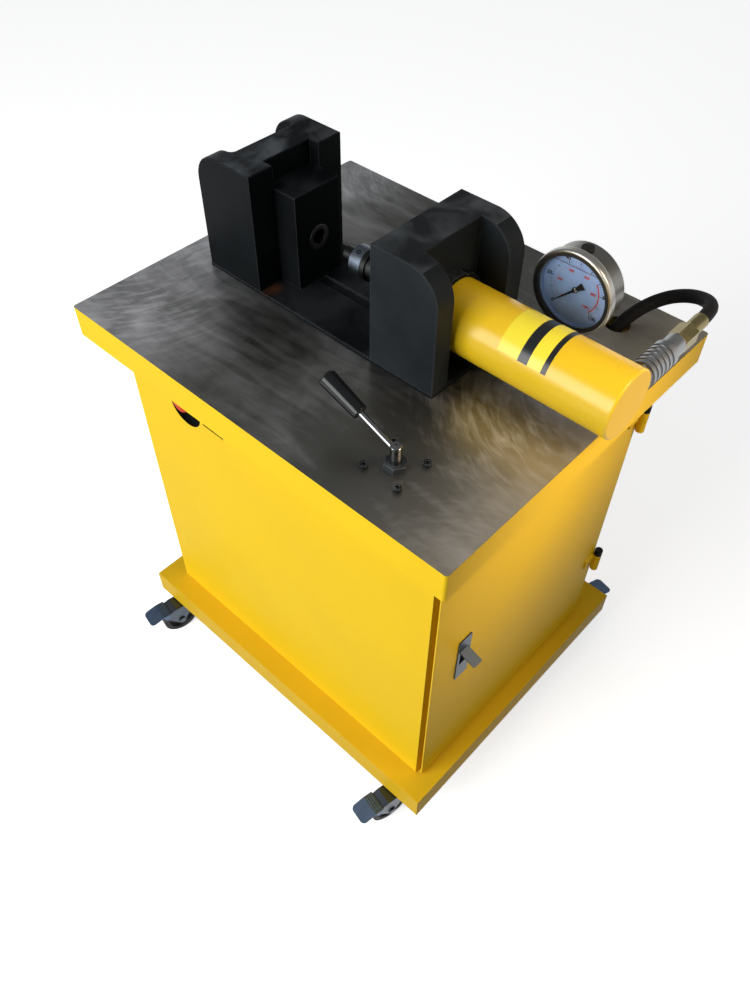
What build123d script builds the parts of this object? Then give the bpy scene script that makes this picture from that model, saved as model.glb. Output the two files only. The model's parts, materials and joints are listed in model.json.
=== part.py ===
from build123d import *
import os
from math import cos, radians, sin, tan

os.makedirs("parts", exist_ok=True)

# Hydraulic busbar punch on a wheeled cabinet, in millimetres.
# +X runs to the cylinder end, +Y to the back, and the floor is z = 0.

# Fits and gaps
running = 0.05
weld_gap = 0.3
skin_gap = 0.5

# Work table
table_length = 640.0
table_width = 527.0
table_height = 714.0
plate_thick = 12.0
plate_corner = 4.0
apron_height = 45.0
apron_thick = 4.0
apron_leg = 28.0

# Base tray, a folded sheet with two box rails under it for the casters
base_length = 630.0
base_width = 522.0
base_sheet = 3.0
rim_height = 45.6
rail_height = 20.0

# Cabinet walls, set back from the table's edges
wall_sheet = 2.0
front_setback = 38.5
left_setback = 42.3
rear_setback = 38.5
wall_flange = 20.0
jamb_flange = 25.0
hinge_post = 29.0
header_height = 62.0

# Openings in the front panel, placed from the cabinet's left face and the table top
button_hole_diameter = 62.0
button_hole_x = 115.2
button_hole_drop = 107.0
slot_length = 41.5
slot_height = 30.0
slot_offset_x = 56.8
slot_offset_z = 6.0

# Door at the right-hand end
door_setback = 30.5
door_gap = 8.0
door_edge_gap = 2.1
door_end_gap = 4.0
door_hem = 6.0
stiffener_width = 40.0
stiffener_depth = 12.0
stiffener_margin = 30.0
stiffener_header_gap = 15.0

# Door hinges, a frame knuckle below a door knuckle on a headed pin
knuckle_radius = 6.5
knuckle_height = 18.0
knuckle_gap = 0.5
hinge_pin_radius = 3.5
hinge_head_height = 11.0
hinge_strap = 3.0
hinge_strap_reach = 28.0
hinge_stand_off = 2.5
upper_hinge_drop = 144.0
lower_hinge_drop = 465.0

# Flush latch on the door
latch_width = 26.0
latch_height = 93.0
latch_thick = 2.0
latch_edge = 63.0
latch_drop = 314.5
housing_width = 24.0
housing_height = 44.0
pocket_width = 17.0
pocket_height = 33.4
pocket_depth = 8.0
flap_length = 29.0
flap_thick = 2.0
flap_side_gap = 0.2
flap_barrel_radius = 2.2
flap_pin_radius = 1.2
flap_pin_length = 2.0
flap_recess = 3.0
flap_pivot_inset = 3.4
flap_lift = 70.0
bolt_thick = 6.0
bolt_height = 12.0
bolt_gap = 0.5
bolt_slide_gap = 0.1
bolt_chamfer = 2.0
bolt_tail = 4.0
bolt_retract = 2.5

# Press: bed let into the table, with an upright at each end
press_left = 60.0
press_offset = 3.0
press_depth = 158.0
bed_length = 400.0
bed_proud = 4.0
bed_let_in = 6.0
groove_width = 16.0
groove_depth = 3.0
upright_length = 100.0
upright_height = 167.0
edge_break = 1.0
axis_height = 66.7

# Die upright, H-shaped in plan
die_gap = 79.0
die_rear_gap = 107.0
die_web_inset = 40.5
die_web = 43.5
die_notch_round = 8.0
die_corner_radius = 36.0
slug_radius = 14.0

# Die block and bush
die_block_length = 51.7
die_block_top = 136.5
die_bush_radius = 17.0
die_bush_length = 22.0
die_clearance = 0.5

# Cylinder upright, U-shaped in plan
saddle_gap = 100.0
saddle_web = 54.0
saddle_corner_radius = 48.0
guide_length = 24.0

# Hydraulic cylinder
cylinder_radius = 43.0
cylinder_overhang = 25.0
cylinder_nose_radius = 40.0
cylinder_bore_radius = 35.0
cylinder_end_wall = 17.0
cylinder_rim_round = 3.0
lock_ring_radius = 48.5
lock_ring_thick = 12.0
lock_ring_notch = 6.0
lock_ring_notch_depth = 2.5
lock_ring_notches = 8

# Ram, collar and punch
ram_radius = 18.0
piston_length = 26.0
piston_gap = 3.0
ram_collar_radius = 19.5
ram_collar_length = 19.0
ram_ring_radius = 20.5
ram_ring_length = 8.0
punch_radius = 10.0
punch_reach = 18.0
throat = 52.3

# Quick coupler and hose end, in line along Y from the cylinder's port
port_inset = 17.0
port_radius = 8.0
coupler_hex = 27.0
coupler_hex_length = 10.0
coupler_radius = 13.5
coupler_length = 85.0
sleeve_radius = 16.5
sleeve_length = 51.0
sleeve_ridges = 5
sleeve_ridge = 4.5
sleeve_ridge_depth = 1.5
fitting_hex = 25.0
fitting_hex_length = 28.0
ferrule_radius = 9.8
ferrule_length = 31.0
hose_diameter = 17.5
hose_arc_share = 0.45

# Hose route from the fitting's end, chosen by hand: round in a loop and down through the table
hose_route = [
    (0.0, 0.0, 0.0),
    (0.0, 21.0, 0.0),
    (-8.0, 40.5, -3.2),
    (-25.0, 55.0, -11.2),
    (-46.0, 63.0, -21.7),
    (-66.0, 61.0, -32.2),
    (-80.0, 49.0, -40.2),
    (-89.0, 34.0, -46.7),
    (-96.0, 21.0, -55.2),
    (-102.0, 11.5, -66.7),
    (-107.0, 3.0, -80.7),
    (-110.5, -2.5, -98.7),
    (-112.5, -5.5, -118.7),
    (-112.5, -5.5, -140.7),
]
hose_hole_radius = 16.5
hose_hole_back = 104.0
hose_hole_side = 8.0
tail_ferrule_length = 24.0
tail_hex_length = 12.0

# Manifold block under the table, joining the hose tail and the gauge stem
thread_depth = 12.0
manifold_width = 48.0
manifold_depth = 40.0
manifold_foot = 35.0
manifold_foot_wall = 7.0

# Pressure gauge, facing the front, placed from the table's right end and the press axis
gauge_inset_x = 123.0
gauge_offset_y = 100.5
gauge_height = 84.0
bezel_radius = 55.0
bezel_depth = 12.0
bezel_lip = 8.0
case_radius = 50.5
case_depth = 37.0
case_wall = 1.5
glass_thick = 3.0
glass_setback = 3.0
dial_setback = 12.0
dial_thick = 1.0
pointer_length = 37.0
pointer_tail = 13.0
pointer_width = 3.4
pointer_tail_width = 9.0
pointer_thick = 0.8
pointer_stand_off = 2.0
pointer_pin_radius = 1.5
pointer_hub_radius = 4.0
pointer_zero = 225.0
stem_radius = 7.0
stem_hex = 22.0
stem_hex_length = 14.0
stem_setback = 20.0
plug_radius = 8.0
plug_height = 4.0
plug_shank_radius = 5.0

# Lever valve, placed from the table's right end and front edge
valve_inset_x = 138.0
valve_inset_y = 77.0
valve_body_size = 70.0
valve_body_height = 60.0
valve_nut_hex = 25.0
valve_nut_height = 8.5
hub_radius = 7.0
hub_height = 33.5
hub_pit_radius = 1.8
hub_pit_depth = 2.5
spindle_depth = 18.0
lever_radius = 3.75
lever_rise = 22.0
lever_height = 25.5
grip_start = 57.0
grip_length = 57.0
grip_neck_radius = 9.5
grip_end_radius = 11.2
grip_end_round = 3.5
grip_bore_depth = 26.0
screw_pitch = 50.0
screw_radius = 3.0
screw_head_radius = 5.0
screw_head_height = 6.0
screw_socket = 5.0
screw_socket_depth = 3.0
screw_grip = 14.0

# Push buttons in the switch box behind the front panel
switch_width = 70.0
switch_height = 84.0
switch_depth = 58.0
switch_pocket_radius = 33.0
switch_pocket_depth = 14.0
button_pitch = 27.0
button_radius = 11.0
button_head = 8.0
button_stem_radius = 5.0
button_stem_length = 14.0
button_travel = 4.0
button_air = 1.5

# Power pack in the cabinet
tank_length = 240.0
tank_width = 200.0
tank_height = 170.0
tank_wall = 3.0
tank_corner = 6.0
tank_margin = 30.0
lid_thick = 4.0
lid_overhang = 6.0
motor_radius = 60.0
motor_height = 185.0
motor_flange_radius = 75.0
motor_flange_thick = 10.0
motor_fins = 18
motor_fin_depth = 6.0
motor_fin_thick = 3.0
motor_cap_height = 40.0
pump_radius = 42.0
pump_height = 95.0

# Casters
wheel_diameter = 65.0
wheel_width = 22.0
caster_height = 95.0
caster_trail = 38.0
caster_inset_x = 50.0
caster_inset_y = 33.0
caster_turn = 12.0
top_plate_length = 70.0
top_plate_width = 56.0
top_plate_thick = 4.0
race_radius = 19.0
race_height = 6.0
race_gap = 0.4
kingpin_radius = 5.0
kingpin_head_radius = 8.0
kingpin_head = 3.0
fork_crown = 4.0
fork_sheet = 2.5
fork_gap = 1.5
fork_back = 9.5
fork_top_reach = 45.0
axle_radius = 4.0
axle_head_radius = 6.5
axle_head = 3.0
hub_boss_radius = 11.0
tyre_round = 3.0
tyre_depth = 9.0
wheel_recess = 6.0
pedal_sheet = 2.0
pedal_side_gap = 0.3
pedal_pin_radius = 2.2
pedal_pin_ring = 2.3
pedal_pin_angle = 45.0
pedal_reach = 33.0
pedal_drop = 7.0
pedal_heel = 7.0
pedal_knee = 8.0
pedal_lift = 2.5
pedal_tip_round = 8.0
pedal_ridges = 3
pedal_ridge = 1.6
pedal_ridge_pitch = 4.0
pedal_ridge_height = 0.8

# Places worked out from the sizes above
machine_length = table_length + cylinder_overhang
table_left = -machine_length / 2
table_right = table_left + table_length
table_cx = table_left + table_length / 2
table_top = table_height
plate_under = table_top - plate_thick
apron_bottom = table_top - apron_height
base_top = caster_height + rail_height + base_sheet
rim_bottom = base_top - rim_height

front_y = -table_width / 2 + front_setback
rear_y = table_width / 2 - rear_setback
left_x = table_left + left_setback
door_face = table_right - door_setback
door_inner = door_face - wall_sheet
jamb_x = door_inner - door_gap
wall_height = plate_under - base_top
cabinet_cy = (front_y + rear_y) / 2

die_x = table_left + press_left
die_web_x = die_x + die_web_inset
die_web_face = die_web_x + die_web
die_face = die_web_face + die_block_length
saddle_x = die_x + bed_length - upright_length
saddle_web_face = saddle_x + saddle_web
press_y = press_offset
bed_cx = die_x + bed_length / 2
bed_top = table_top + bed_proud
upright_top = table_top + upright_height
axis_z = table_top + axis_height
cylinder_end = table_right + cylinder_overhang
gauge_x = table_right - gauge_inset_x
gauge_front_y = press_y + gauge_offset_y
valve_x = table_right - valve_inset_x
valve_y = -table_width / 2 + valve_inset_y

port_x = cylinder_end - port_inset
port_y = press_y + cylinder_radius
coupler_end = port_y + coupler_length
fitting_hex_end = coupler_end + fitting_hex_length
fitting_end = fitting_hex_end + ferrule_length
hose_hole_x = port_x - hose_hole_back
hose_hole_y = fitting_end + hose_hole_side
press_axis = Axis((0, press_y, axis_z), (1, 0, 0))
press_section = Plane(origin=(0, press_y, axis_z), x_dir=(1, 0, 0), z_dir=(0, -1, 0))


def save(builder, name):
    """Labels a finished piece and writes it to its own file."""
    builder.part.label = name
    export_step(builder.part, f"parts/{name}.step")


def folded(plane, thick, *points):
    """Section of a sheet folded along a line, with the line as its outer skin."""
    with BuildSketch(plane) as section:
        with BuildLine():
            Polyline(*points)
            offset(amount=thick, side=Side.RIGHT, kind=Kind.INTERSECTION)
        make_face()
    return section.sketch


def turned(plane, *points):
    """Half section of a turned piece: local x along its axis, local y its radius."""
    with BuildSketch(plane) as section:
        with BuildLine():
            Polyline(*points, close=True)
        make_face()
    return section.sketch


# Base tray
rail_y = base_width / 2 - caster_inset_y
rail_width = 2 * (caster_inset_y - base_sheet)
rail_z = base_top - base_sheet - rail_height / 2
base_inside = base_length - 2 * base_sheet

with BuildPart() as base_tray:
    with BuildSketch(Plane.XY.offset(rim_bottom)):
        with Locations((table_cx, 0)):
            Rectangle(base_length, base_width)
    extrude(amount=rim_height)
    with BuildSketch(Plane.XY.offset(rim_bottom)):
        with Locations((table_cx, 0)):
            Rectangle(base_inside, base_width - 2 * base_sheet)
    extrude(amount=rim_height - base_sheet, mode=Mode.SUBTRACT)
    with BuildSketch(Plane.YZ.offset(table_cx - base_inside / 2)):
        with Locations((-rail_y, rail_z), (rail_y, rail_z)):
            Rectangle(rail_width, rail_height)
            Rectangle(rail_width - 2 * base_sheet, rail_height - 2 * base_sheet, mode=Mode.SUBTRACT)
    extrude(amount=base_inside)
save(base_tray, "base_tray")

# Front panel: C-section with a jamb return at the door end
button_x = left_x + button_hole_x
button_z = table_top - button_hole_drop

with BuildPart() as front_panel:
    extrude(
        folded(
            Plane.YZ.offset(left_x),
            wall_sheet,
            (front_y + wall_flange, base_top),
            (front_y, base_top),
            (front_y, plate_under),
            (front_y + wall_flange, plate_under),
        ),
        amount=jamb_x - left_x,
    )
    with BuildSketch(Plane.XY.offset(base_top)):
        with Locations((jamb_x, front_y)):
            Rectangle(wall_sheet, jamb_flange, align=(Align.MAX, Align.MIN))
    extrude(amount=wall_height)
    with BuildSketch(Plane.XZ.offset(-front_y)):
        with Locations((button_x, button_z)):
            Circle(button_hole_diameter / 2)
        with Locations((button_x + slot_offset_x, button_z + slot_offset_z)):
            Rectangle(slot_length, slot_height)
    extrude(amount=-wall_sheet, mode=Mode.SUBTRACT)
    with BuildSketch(Plane.XY.offset(plate_under)):
        with Locations((valve_x, front_y + wall_sheet)):
            Rectangle(valve_body_size + 2 * skin_gap, wall_flange, align=(Align.CENTER, Align.MIN))
    extrude(amount=-wall_sheet, mode=Mode.SUBTRACT)
save(front_panel, "front_panel")

# Left panel, between the front and rear panels
with BuildPart() as left_panel:
    with BuildSketch(Plane.YZ.offset(left_x)):
        with Locations((cabinet_cy, (base_top + plate_under) / 2)):
            Rectangle(rear_y - front_y - 2 * wall_sheet, wall_height - 2 * wall_sheet)
    extrude(amount=wall_sheet)
    flange_run = rear_y - front_y - 2 * (wall_flange + weld_gap)
    for flange_z in (base_top, plate_under - wall_sheet):
        with BuildSketch(Plane.XY.offset(flange_z)):
            with Locations((left_x, cabinet_cy)):
                Rectangle(wall_flange, flange_run, align=(Align.MIN, Align.CENTER))
        extrude(amount=wall_sheet)
save(left_panel, "left_panel")

# Hinge places, shared by the rear panel, the door and the pins
hinge_x = door_face + knuckle_radius
door_back = rear_y - hinge_post
hinge_y = door_back + hinge_stand_off
rear_jamb = jamb_flange + hinge_post
frame_knuckles = [table_top - lower_hinge_drop, table_top - upper_hinge_drop]
door_knuckles = [z + knuckle_height + knuckle_gap for z in frame_knuckles]
pin_bore = hinge_pin_radius + running

# Rear panel, with the frame's half of the hinges welded to it
with BuildPart() as rear_panel:
    extrude(
        folded(
            Plane.YZ.offset(left_x),
            wall_sheet,
            (rear_y - wall_flange, plate_under),
            (rear_y, plate_under),
            (rear_y, base_top),
            (rear_y - wall_flange, base_top),
        ),
        amount=jamb_x - left_x,
    )
    with BuildSketch(Plane.XY.offset(base_top)):
        with Locations((jamb_x, rear_y)):
            Rectangle(wall_sheet, rear_jamb, align=(Align.MAX, Align.MAX))
    extrude(amount=wall_height)
    for knuckle_z in frame_knuckles:
        with BuildSketch(Plane.XY.offset(knuckle_z)):
            with Locations((jamb_x, hinge_y)):
                Rectangle(hinge_x - jamb_x, hinge_strap, align=(Align.MIN, Align.MIN))
            with Locations((hinge_x, hinge_y)):
                Circle(knuckle_radius)
                Circle(pin_bore, mode=Mode.SUBTRACT)
        extrude(amount=knuckle_height)
save(rear_panel, "rear_panel")

# Rail above the door
header_front = front_y + jamb_flange
header_run = rear_y - rear_jamb - header_front

with BuildPart() as door_header:
    extrude(
        folded(
            Plane.XZ.offset(-header_front),
            wall_sheet,
            (jamb_x - wall_flange, plate_under),
            (jamb_x, plate_under),
            (jamb_x, plate_under - header_height),
        ),
        amount=-header_run,
    )
save(door_header, "door_header")

# Door: flat sheet hemmed at its ends, with a pressed stiffener and its half of the hinges
door_bottom = base_top + door_end_gap
door_top = apron_bottom - door_end_gap
door_front = front_y + door_edge_gap
stiffener_top = plate_under - header_height - stiffener_header_gap
stiffener_y = (door_front + door_back) / 2
latch_y = door_front + latch_edge
latch_z = table_top - latch_drop
flap_z = latch_z + housing_height / 2 - flap_pivot_inset - skin_gap
housing_z = latch_z + skin_gap

with BuildPart() as door_panel:
    extrude(
        folded(
            Plane.XZ.offset(-door_front),
            wall_sheet,
            (door_face - door_hem, door_top),
            (door_face, door_top),
            (door_face, door_bottom),
            (door_face - door_hem, door_bottom),
        ),
        amount=-(door_back - door_front),
    )
    extrude(
        folded(
            Plane.XY.offset(door_bottom + stiffener_margin),
            wall_sheet,
            (door_inner, stiffener_y + stiffener_width / 2),
            (door_inner - stiffener_depth, stiffener_y + stiffener_width / 2),
            (door_inner - stiffener_depth, stiffener_y - stiffener_width / 2),
            (door_inner, stiffener_y - stiffener_width / 2),
        ),
        amount=stiffener_top - door_bottom - stiffener_margin,
    )
    with BuildSketch(Plane.YZ.offset(door_inner)):
        with Locations((latch_y, housing_z)):
            Rectangle(housing_width + 2 * weld_gap, housing_height + 2 * weld_gap)
    extrude(amount=wall_sheet, mode=Mode.SUBTRACT)
    for knuckle_z in door_knuckles:
        with BuildSketch(Plane.XY.offset(knuckle_z)):
            with Locations((door_face, hinge_y)):
                Rectangle(hinge_strap, hinge_strap_reach, align=(Align.MIN, Align.MAX))
            with Locations((hinge_x, hinge_y)):
                Circle(knuckle_radius)
                Circle(pin_bore, mode=Mode.SUBTRACT)
        extrude(amount=knuckle_height)
save(door_panel, "door_panel")

# Hinge pins with tall heads, the lower one first
with BuildPart() as hinge_pins:
    for knuckle_z in frame_knuckles:
        head_z = knuckle_z + 2 * knuckle_height + knuckle_gap + running
        with BuildSketch(Plane.XY.offset(knuckle_z)):
            with Locations((hinge_x, hinge_y)):
                Circle(hinge_pin_radius)
        extrude(amount=head_z - knuckle_z)
        with BuildSketch(Plane.XY.offset(head_z)):
            with Locations((hinge_x, hinge_y)):
                Circle(knuckle_radius)
        extrude(amount=hinge_head_height)
        fillet(hinge_pins.faces().sort_by(Axis.Z)[-1].edges(), radius=edge_break)
save(hinge_pins, "hinge_pins")

# Latch plate with the pocket for its flap and the channel for its bolt
latch_front = door_face + latch_thick
bolt_front = jamb_x - wall_sheet - bolt_gap
bolt_x = bolt_front - bolt_thick / 2
housing_back = bolt_front - bolt_thick - wall_sheet
pocket_top = flap_z + flap_pivot_inset
flap_x = latch_front - flap_recess
bolt_z = housing_z

with BuildPart() as latch_plate:
    with BuildSketch(Plane.YZ.offset(door_face)):
        with Locations((latch_y, latch_z)):
            RectangleRounded(latch_width, latch_height, latch_thick)
    extrude(amount=latch_thick)
    with BuildSketch(Plane.YZ.offset(housing_back)):
        with Locations((latch_y, housing_z)):
            Rectangle(housing_width, housing_height)
    extrude(amount=door_face - housing_back)
    with BuildSketch(Plane.YZ.offset(latch_front)):
        with Locations((latch_y, pocket_top)):
            Rectangle(pocket_width, pocket_height, align=(Align.CENTER, Align.MAX))
    extrude(amount=-pocket_depth, mode=Mode.SUBTRACT)
    with BuildSketch(Plane.XZ.offset(-latch_y)):
        with Locations((flap_x, flap_z)):
            Circle(flap_pin_radius + running)
    extrude(amount=pocket_width / 2 + flap_pin_length + flap_side_gap, both=True, mode=Mode.SUBTRACT)
    with BuildSketch(Plane.XZ.offset(-latch_y)):
        with Locations((bolt_x, bolt_z)):
            Rectangle(bolt_thick + 2 * bolt_slide_gap, bolt_height + 2 * bolt_slide_gap)
    extrude(amount=housing_width, both=True, mode=Mode.SUBTRACT)
save(latch_plate, "latch_plate")

# Latch flap, standing open
flap_width = pocket_width - 2 * flap_side_gap
flap_dir = Vector(sin(radians(flap_lift)), 0, -cos(radians(flap_lift)))
flap_plane = Plane(
    origin=(flap_x, latch_y, flap_z), x_dir=flap_dir, z_dir=flap_dir.cross(Vector(0, 1, 0))
)

with BuildPart() as latch_flap:
    with BuildSketch(flap_plane):
        Rectangle(flap_length, flap_width, align=(Align.MIN, Align.CENTER))
    extrude(amount=flap_thick / 2, both=True)
    flap_normal = Axis(flap_plane.origin, flap_plane.z_dir)
    corners = latch_flap.edges().filter_by(flap_normal).sort_by_distance(flap_plane.origin)[-2:]
    fillet(corners, radius=flap_thick)
    with BuildSketch(Plane.XZ.offset(-latch_y)):
        with Locations((flap_x, flap_z)):
            Circle(flap_barrel_radius)
    extrude(amount=flap_width / 2, both=True)
    with BuildSketch(Plane.XZ.offset(-latch_y)):
        with Locations((flap_x, flap_z)):
            Circle(flap_pin_radius)
    extrude(amount=flap_width / 2 + flap_pin_length, both=True)
save(latch_flap, "latch_flap")

# Latch bolt, drawn back behind the front panel's jamb
bolt_tip = front_y + jamb_flange + bolt_retract
bolt_end = latch_y + housing_width / 2 + bolt_tail

with BuildPart() as latch_bolt:
    with BuildSketch(Plane.XZ.offset(-bolt_tip)):
        with Locations((bolt_x, bolt_z)):
            Rectangle(bolt_thick, bolt_height)
    extrude(amount=-(bolt_end - bolt_tip))
    tip_edge = latch_bolt.edges().filter_by(Axis.Z).group_by(Axis.Y)[0].sort_by(Axis.X)[-1]
    chamfer(tip_edge, length=bolt_chamfer)
save(latch_bolt, "latch_bolt")

# Table apron, a ring of angle iron: its level leg carries the plate
with BuildPart() as table_apron:
    with BuildSketch(Plane.XY.offset(apron_bottom)):
        with Locations((table_cx, 0)):
            RectangleRounded(table_length, table_width, plate_corner)
            Rectangle(table_length - 2 * apron_thick, table_width - 2 * apron_thick, mode=Mode.SUBTRACT)
    extrude(amount=apron_height - plate_thick)
    with BuildSketch(Plane.XY.offset(plate_under - apron_thick)):
        with Locations((table_cx, 0)):
            Rectangle(table_length - apron_thick, table_width - apron_thick)
            Rectangle(table_length - 2 * apron_leg, table_width - 2 * apron_leg, mode=Mode.SUBTRACT)
    extrude(amount=apron_thick)
save(table_apron, "table_apron")

# Table plate, with the bed's seat and the holes for hose, gauge stem and lever valve
stem_y = gauge_front_y + stem_setback

with BuildPart() as table_plate:
    with BuildSketch(Plane.XY.offset(plate_under)):
        with Locations((table_cx, 0)):
            RectangleRounded(table_length, table_width, plate_corner)
        with Locations((hose_hole_x, hose_hole_y)):
            Circle(hose_hole_radius, mode=Mode.SUBTRACT)
        with Locations((gauge_x, stem_y)):
            Circle(stem_radius + running, mode=Mode.SUBTRACT)
        with Locations((valve_x, valve_y)):
            Circle(hub_radius + running, mode=Mode.SUBTRACT)
            with GridLocations(screw_pitch, screw_pitch, 2, 2):
                Circle(screw_radius + running, mode=Mode.SUBTRACT)
    extrude(amount=plate_thick)
    with BuildSketch(Plane.XY.offset(table_top - bed_let_in)):
        with Locations((bed_cx, press_y)):
            Rectangle(bed_length + 2 * weld_gap, press_depth + 2 * weld_gap)
    extrude(amount=bed_let_in, mode=Mode.SUBTRACT)
save(table_plate, "table_plate")

# Press bed, grooved along the press axis between die and cylinder
with BuildPart() as press_bed:
    with BuildSketch(Plane.XY.offset(table_top - bed_let_in)):
        with Locations((bed_cx, press_y)):
            Rectangle(bed_length, press_depth)
    extrude(amount=bed_let_in + bed_proud)
    chamfer(press_bed.faces().sort_by(Axis.Z)[-1].edges(), length=edge_break)
    with BuildSketch(Plane.XY.offset(bed_top)):
        with Locations(((die_face + saddle_x) / 2, press_y)):
            Rectangle(saddle_x - die_face, groove_width)
    extrude(amount=-groove_depth, mode=Mode.SUBTRACT)
save(press_bed, "press_bed")

# Die upright: two cheeks joined by a web, open to both ends
with BuildPart() as die_upright:
    with BuildSketch(Plane.XY.offset(bed_top)):
        with Locations((die_x, press_y)):
            Rectangle(upright_length, press_depth, align=(Align.MIN, Align.CENTER))
            Rectangle(die_web_inset, die_rear_gap, align=(Align.MIN, Align.CENTER), mode=Mode.SUBTRACT)
        with Locations((die_web_face, press_y)):
            Rectangle(
                upright_length - die_web_inset - die_web,
                die_gap,
                align=(Align.MIN, Align.CENTER),
                mode=Mode.SUBTRACT,
            )
    extrude(amount=upright_top - bed_top)
    notch_corners = die_upright.edges().filter_by(Axis.Z).group_by(Axis.X)[1]
    fillet(notch_corners, radius=die_notch_round)
    outer_corners = die_upright.edges().filter_by(Axis.Y).group_by(Axis.Z)[-1].group_by(Axis.X)[0]
    fillet(outer_corners, radius=die_corner_radius)
    chamfer(die_upright.faces().sort_by(Axis.Z)[-1].edges(), length=edge_break)
    with BuildSketch(Plane.YZ.offset(die_web_x)):
        with Locations((press_y, axis_z)):
            Circle(slug_radius)
    extrude(amount=die_web, mode=Mode.SUBTRACT)
save(die_upright, "die_upright")

# Die block between the cheeks, bored for the bush and for the slugs behind it
with BuildPart() as die_block:
    with BuildSketch(Plane.XY.offset(bed_top)):
        with Locations((die_web_face, press_y)):
            Rectangle(die_block_length, die_gap - 2 * weld_gap, align=(Align.MIN, Align.CENTER))
    extrude(amount=table_top + die_block_top - bed_top)
    chamfer(die_block.faces().sort_by(Axis.Z)[-1].edges(), length=edge_break)
    with BuildSketch(Plane.YZ.offset(die_face)):
        with Locations((press_y, axis_z)):
            Circle(slug_radius)
    extrude(amount=-die_block_length, mode=Mode.SUBTRACT)
    with BuildSketch(Plane.YZ.offset(die_face)):
        with Locations((press_y, axis_z)):
            Circle(die_bush_radius + running)
    extrude(amount=-die_bush_length, mode=Mode.SUBTRACT)
save(die_block, "die_block")

# Die bush, with a lead-in at its mouth and a wider way out behind
die_bore = punch_radius + die_clearance

with BuildPart() as die_bush:
    revolve(
        turned(
            press_section,
            (die_face - die_bush_length, die_bore + die_clearance),
            (die_face - die_bush_length, die_bush_radius),
            (die_face - edge_break, die_bush_radius),
            (die_face, die_bush_radius - edge_break),
            (die_face, die_bore),
            (die_face - die_bush_length / 2, die_bore),
        ),
        axis=press_axis,
    )
save(die_bush, "die_bush")

# Cylinder upright: a web with two cheeks that stand either side of the cylinder
with BuildPart() as cylinder_upright:
    with BuildSketch(Plane.XY.offset(bed_top)):
        with Locations((saddle_x, press_y)):
            Rectangle(upright_length, press_depth, align=(Align.MIN, Align.CENTER))
        with Locations((saddle_web_face, press_y)):
            Rectangle(
                upright_length - saddle_web,
                saddle_gap,
                align=(Align.MIN, Align.CENTER),
                mode=Mode.SUBTRACT,
            )
    extrude(amount=upright_top - bed_top)
    outer_corners = cylinder_upright.edges().filter_by(Axis.Y).group_by(Axis.Z)[-1].group_by(Axis.X)[-1]
    fillet(outer_corners, radius=min(saddle_corner_radius, upright_length - saddle_web - edge_break))
    chamfer(cylinder_upright.faces().sort_by(Axis.Z)[-1].edges(), length=edge_break)
    with BuildSketch(Plane.YZ.offset(saddle_x)):
        with Locations((press_y, axis_z)):
            Circle(ram_radius + running)
    extrude(amount=guide_length, mode=Mode.SUBTRACT)
    with BuildSketch(Plane.YZ.offset(saddle_x + guide_length)):
        with Locations((press_y, axis_z)):
            Circle(cylinder_nose_radius + running)
    extrude(amount=saddle_web - guide_length, mode=Mode.SUBTRACT)
save(cylinder_upright, "cylinder_upright")

# Cylinder barrel: its nose fits the web, its far end is closed and carries the oil port
bore_end = cylinder_end - cylinder_end_wall
nose_x = saddle_x + guide_length
port_depth = cylinder_radius - cylinder_bore_radius - skin_gap

with BuildPart() as cylinder_barrel:
    revolve(
        turned(
            press_section,
            (nose_x, cylinder_bore_radius),
            (nose_x, cylinder_nose_radius),
            (saddle_web_face, cylinder_nose_radius),
            (saddle_web_face, cylinder_radius),
            (cylinder_end, cylinder_radius),
            (cylinder_end, 0),
            (bore_end, 0),
            (bore_end, cylinder_bore_radius),
        ),
        axis=press_axis,
    )
    end_rim = cylinder_barrel.edges().filter_by(GeomType.CIRCLE).sort_by(Axis.X)[-1]
    fillet(end_rim, radius=cylinder_rim_round)
    with BuildSketch(Plane.ZX.offset(port_y - port_depth)):
        with Locations((axis_z, port_x)):
            Circle(port_radius + running)
    extrude(amount=port_depth + skin_gap, mode=Mode.SUBTRACT)
save(cylinder_barrel, "cylinder_barrel")

# Lock ring against the web, notched for a hook spanner
half_notch_step = 360 / lock_ring_notches / 2

with BuildPart() as lock_ring:
    with BuildSketch(Plane.YZ.offset(saddle_web_face)):
        with Locations((press_y, axis_z)):
            Circle(lock_ring_radius)
            Circle(cylinder_radius + running, mode=Mode.SUBTRACT)
            with PolarLocations(lock_ring_radius, lock_ring_notches, start_angle=half_notch_step):
                Rectangle(2 * lock_ring_notch_depth, lock_ring_notch, mode=Mode.SUBTRACT)
    extrude(amount=lock_ring_thick)
save(lock_ring, "lock_ring")

# Ram: piston, rod and end ring
punch_tip = die_face + throat
collar_x = punch_tip + punch_reach
ram_end = collar_x + ram_collar_length
piston_back = bore_end - piston_gap
piston_front = piston_back - piston_length

with BuildPart() as ram_rod:
    revolve(
        turned(
            press_section,
            (ram_end, 0),
            (ram_end, ram_ring_radius),
            (ram_end + ram_ring_length, ram_ring_radius),
            (ram_end + ram_ring_length, ram_radius),
            (piston_front, ram_radius),
            (piston_front, cylinder_bore_radius - running),
            (piston_back, cylinder_bore_radius - running),
            (piston_back, 0),
        ),
        axis=press_axis,
    )
save(ram_rod, "ram_rod")

# Collar that holds the punch on the ram's end
with BuildPart() as ram_collar:
    revolve(
        turned(
            press_section,
            (collar_x, punch_radius + running),
            (collar_x, ram_collar_radius - edge_break),
            (collar_x + edge_break, ram_collar_radius),
            (ram_end - edge_break, ram_collar_radius),
            (ram_end, ram_collar_radius - edge_break),
            (ram_end, punch_radius + running),
        ),
        axis=press_axis,
    )
save(ram_collar, "ram_collar")

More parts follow.
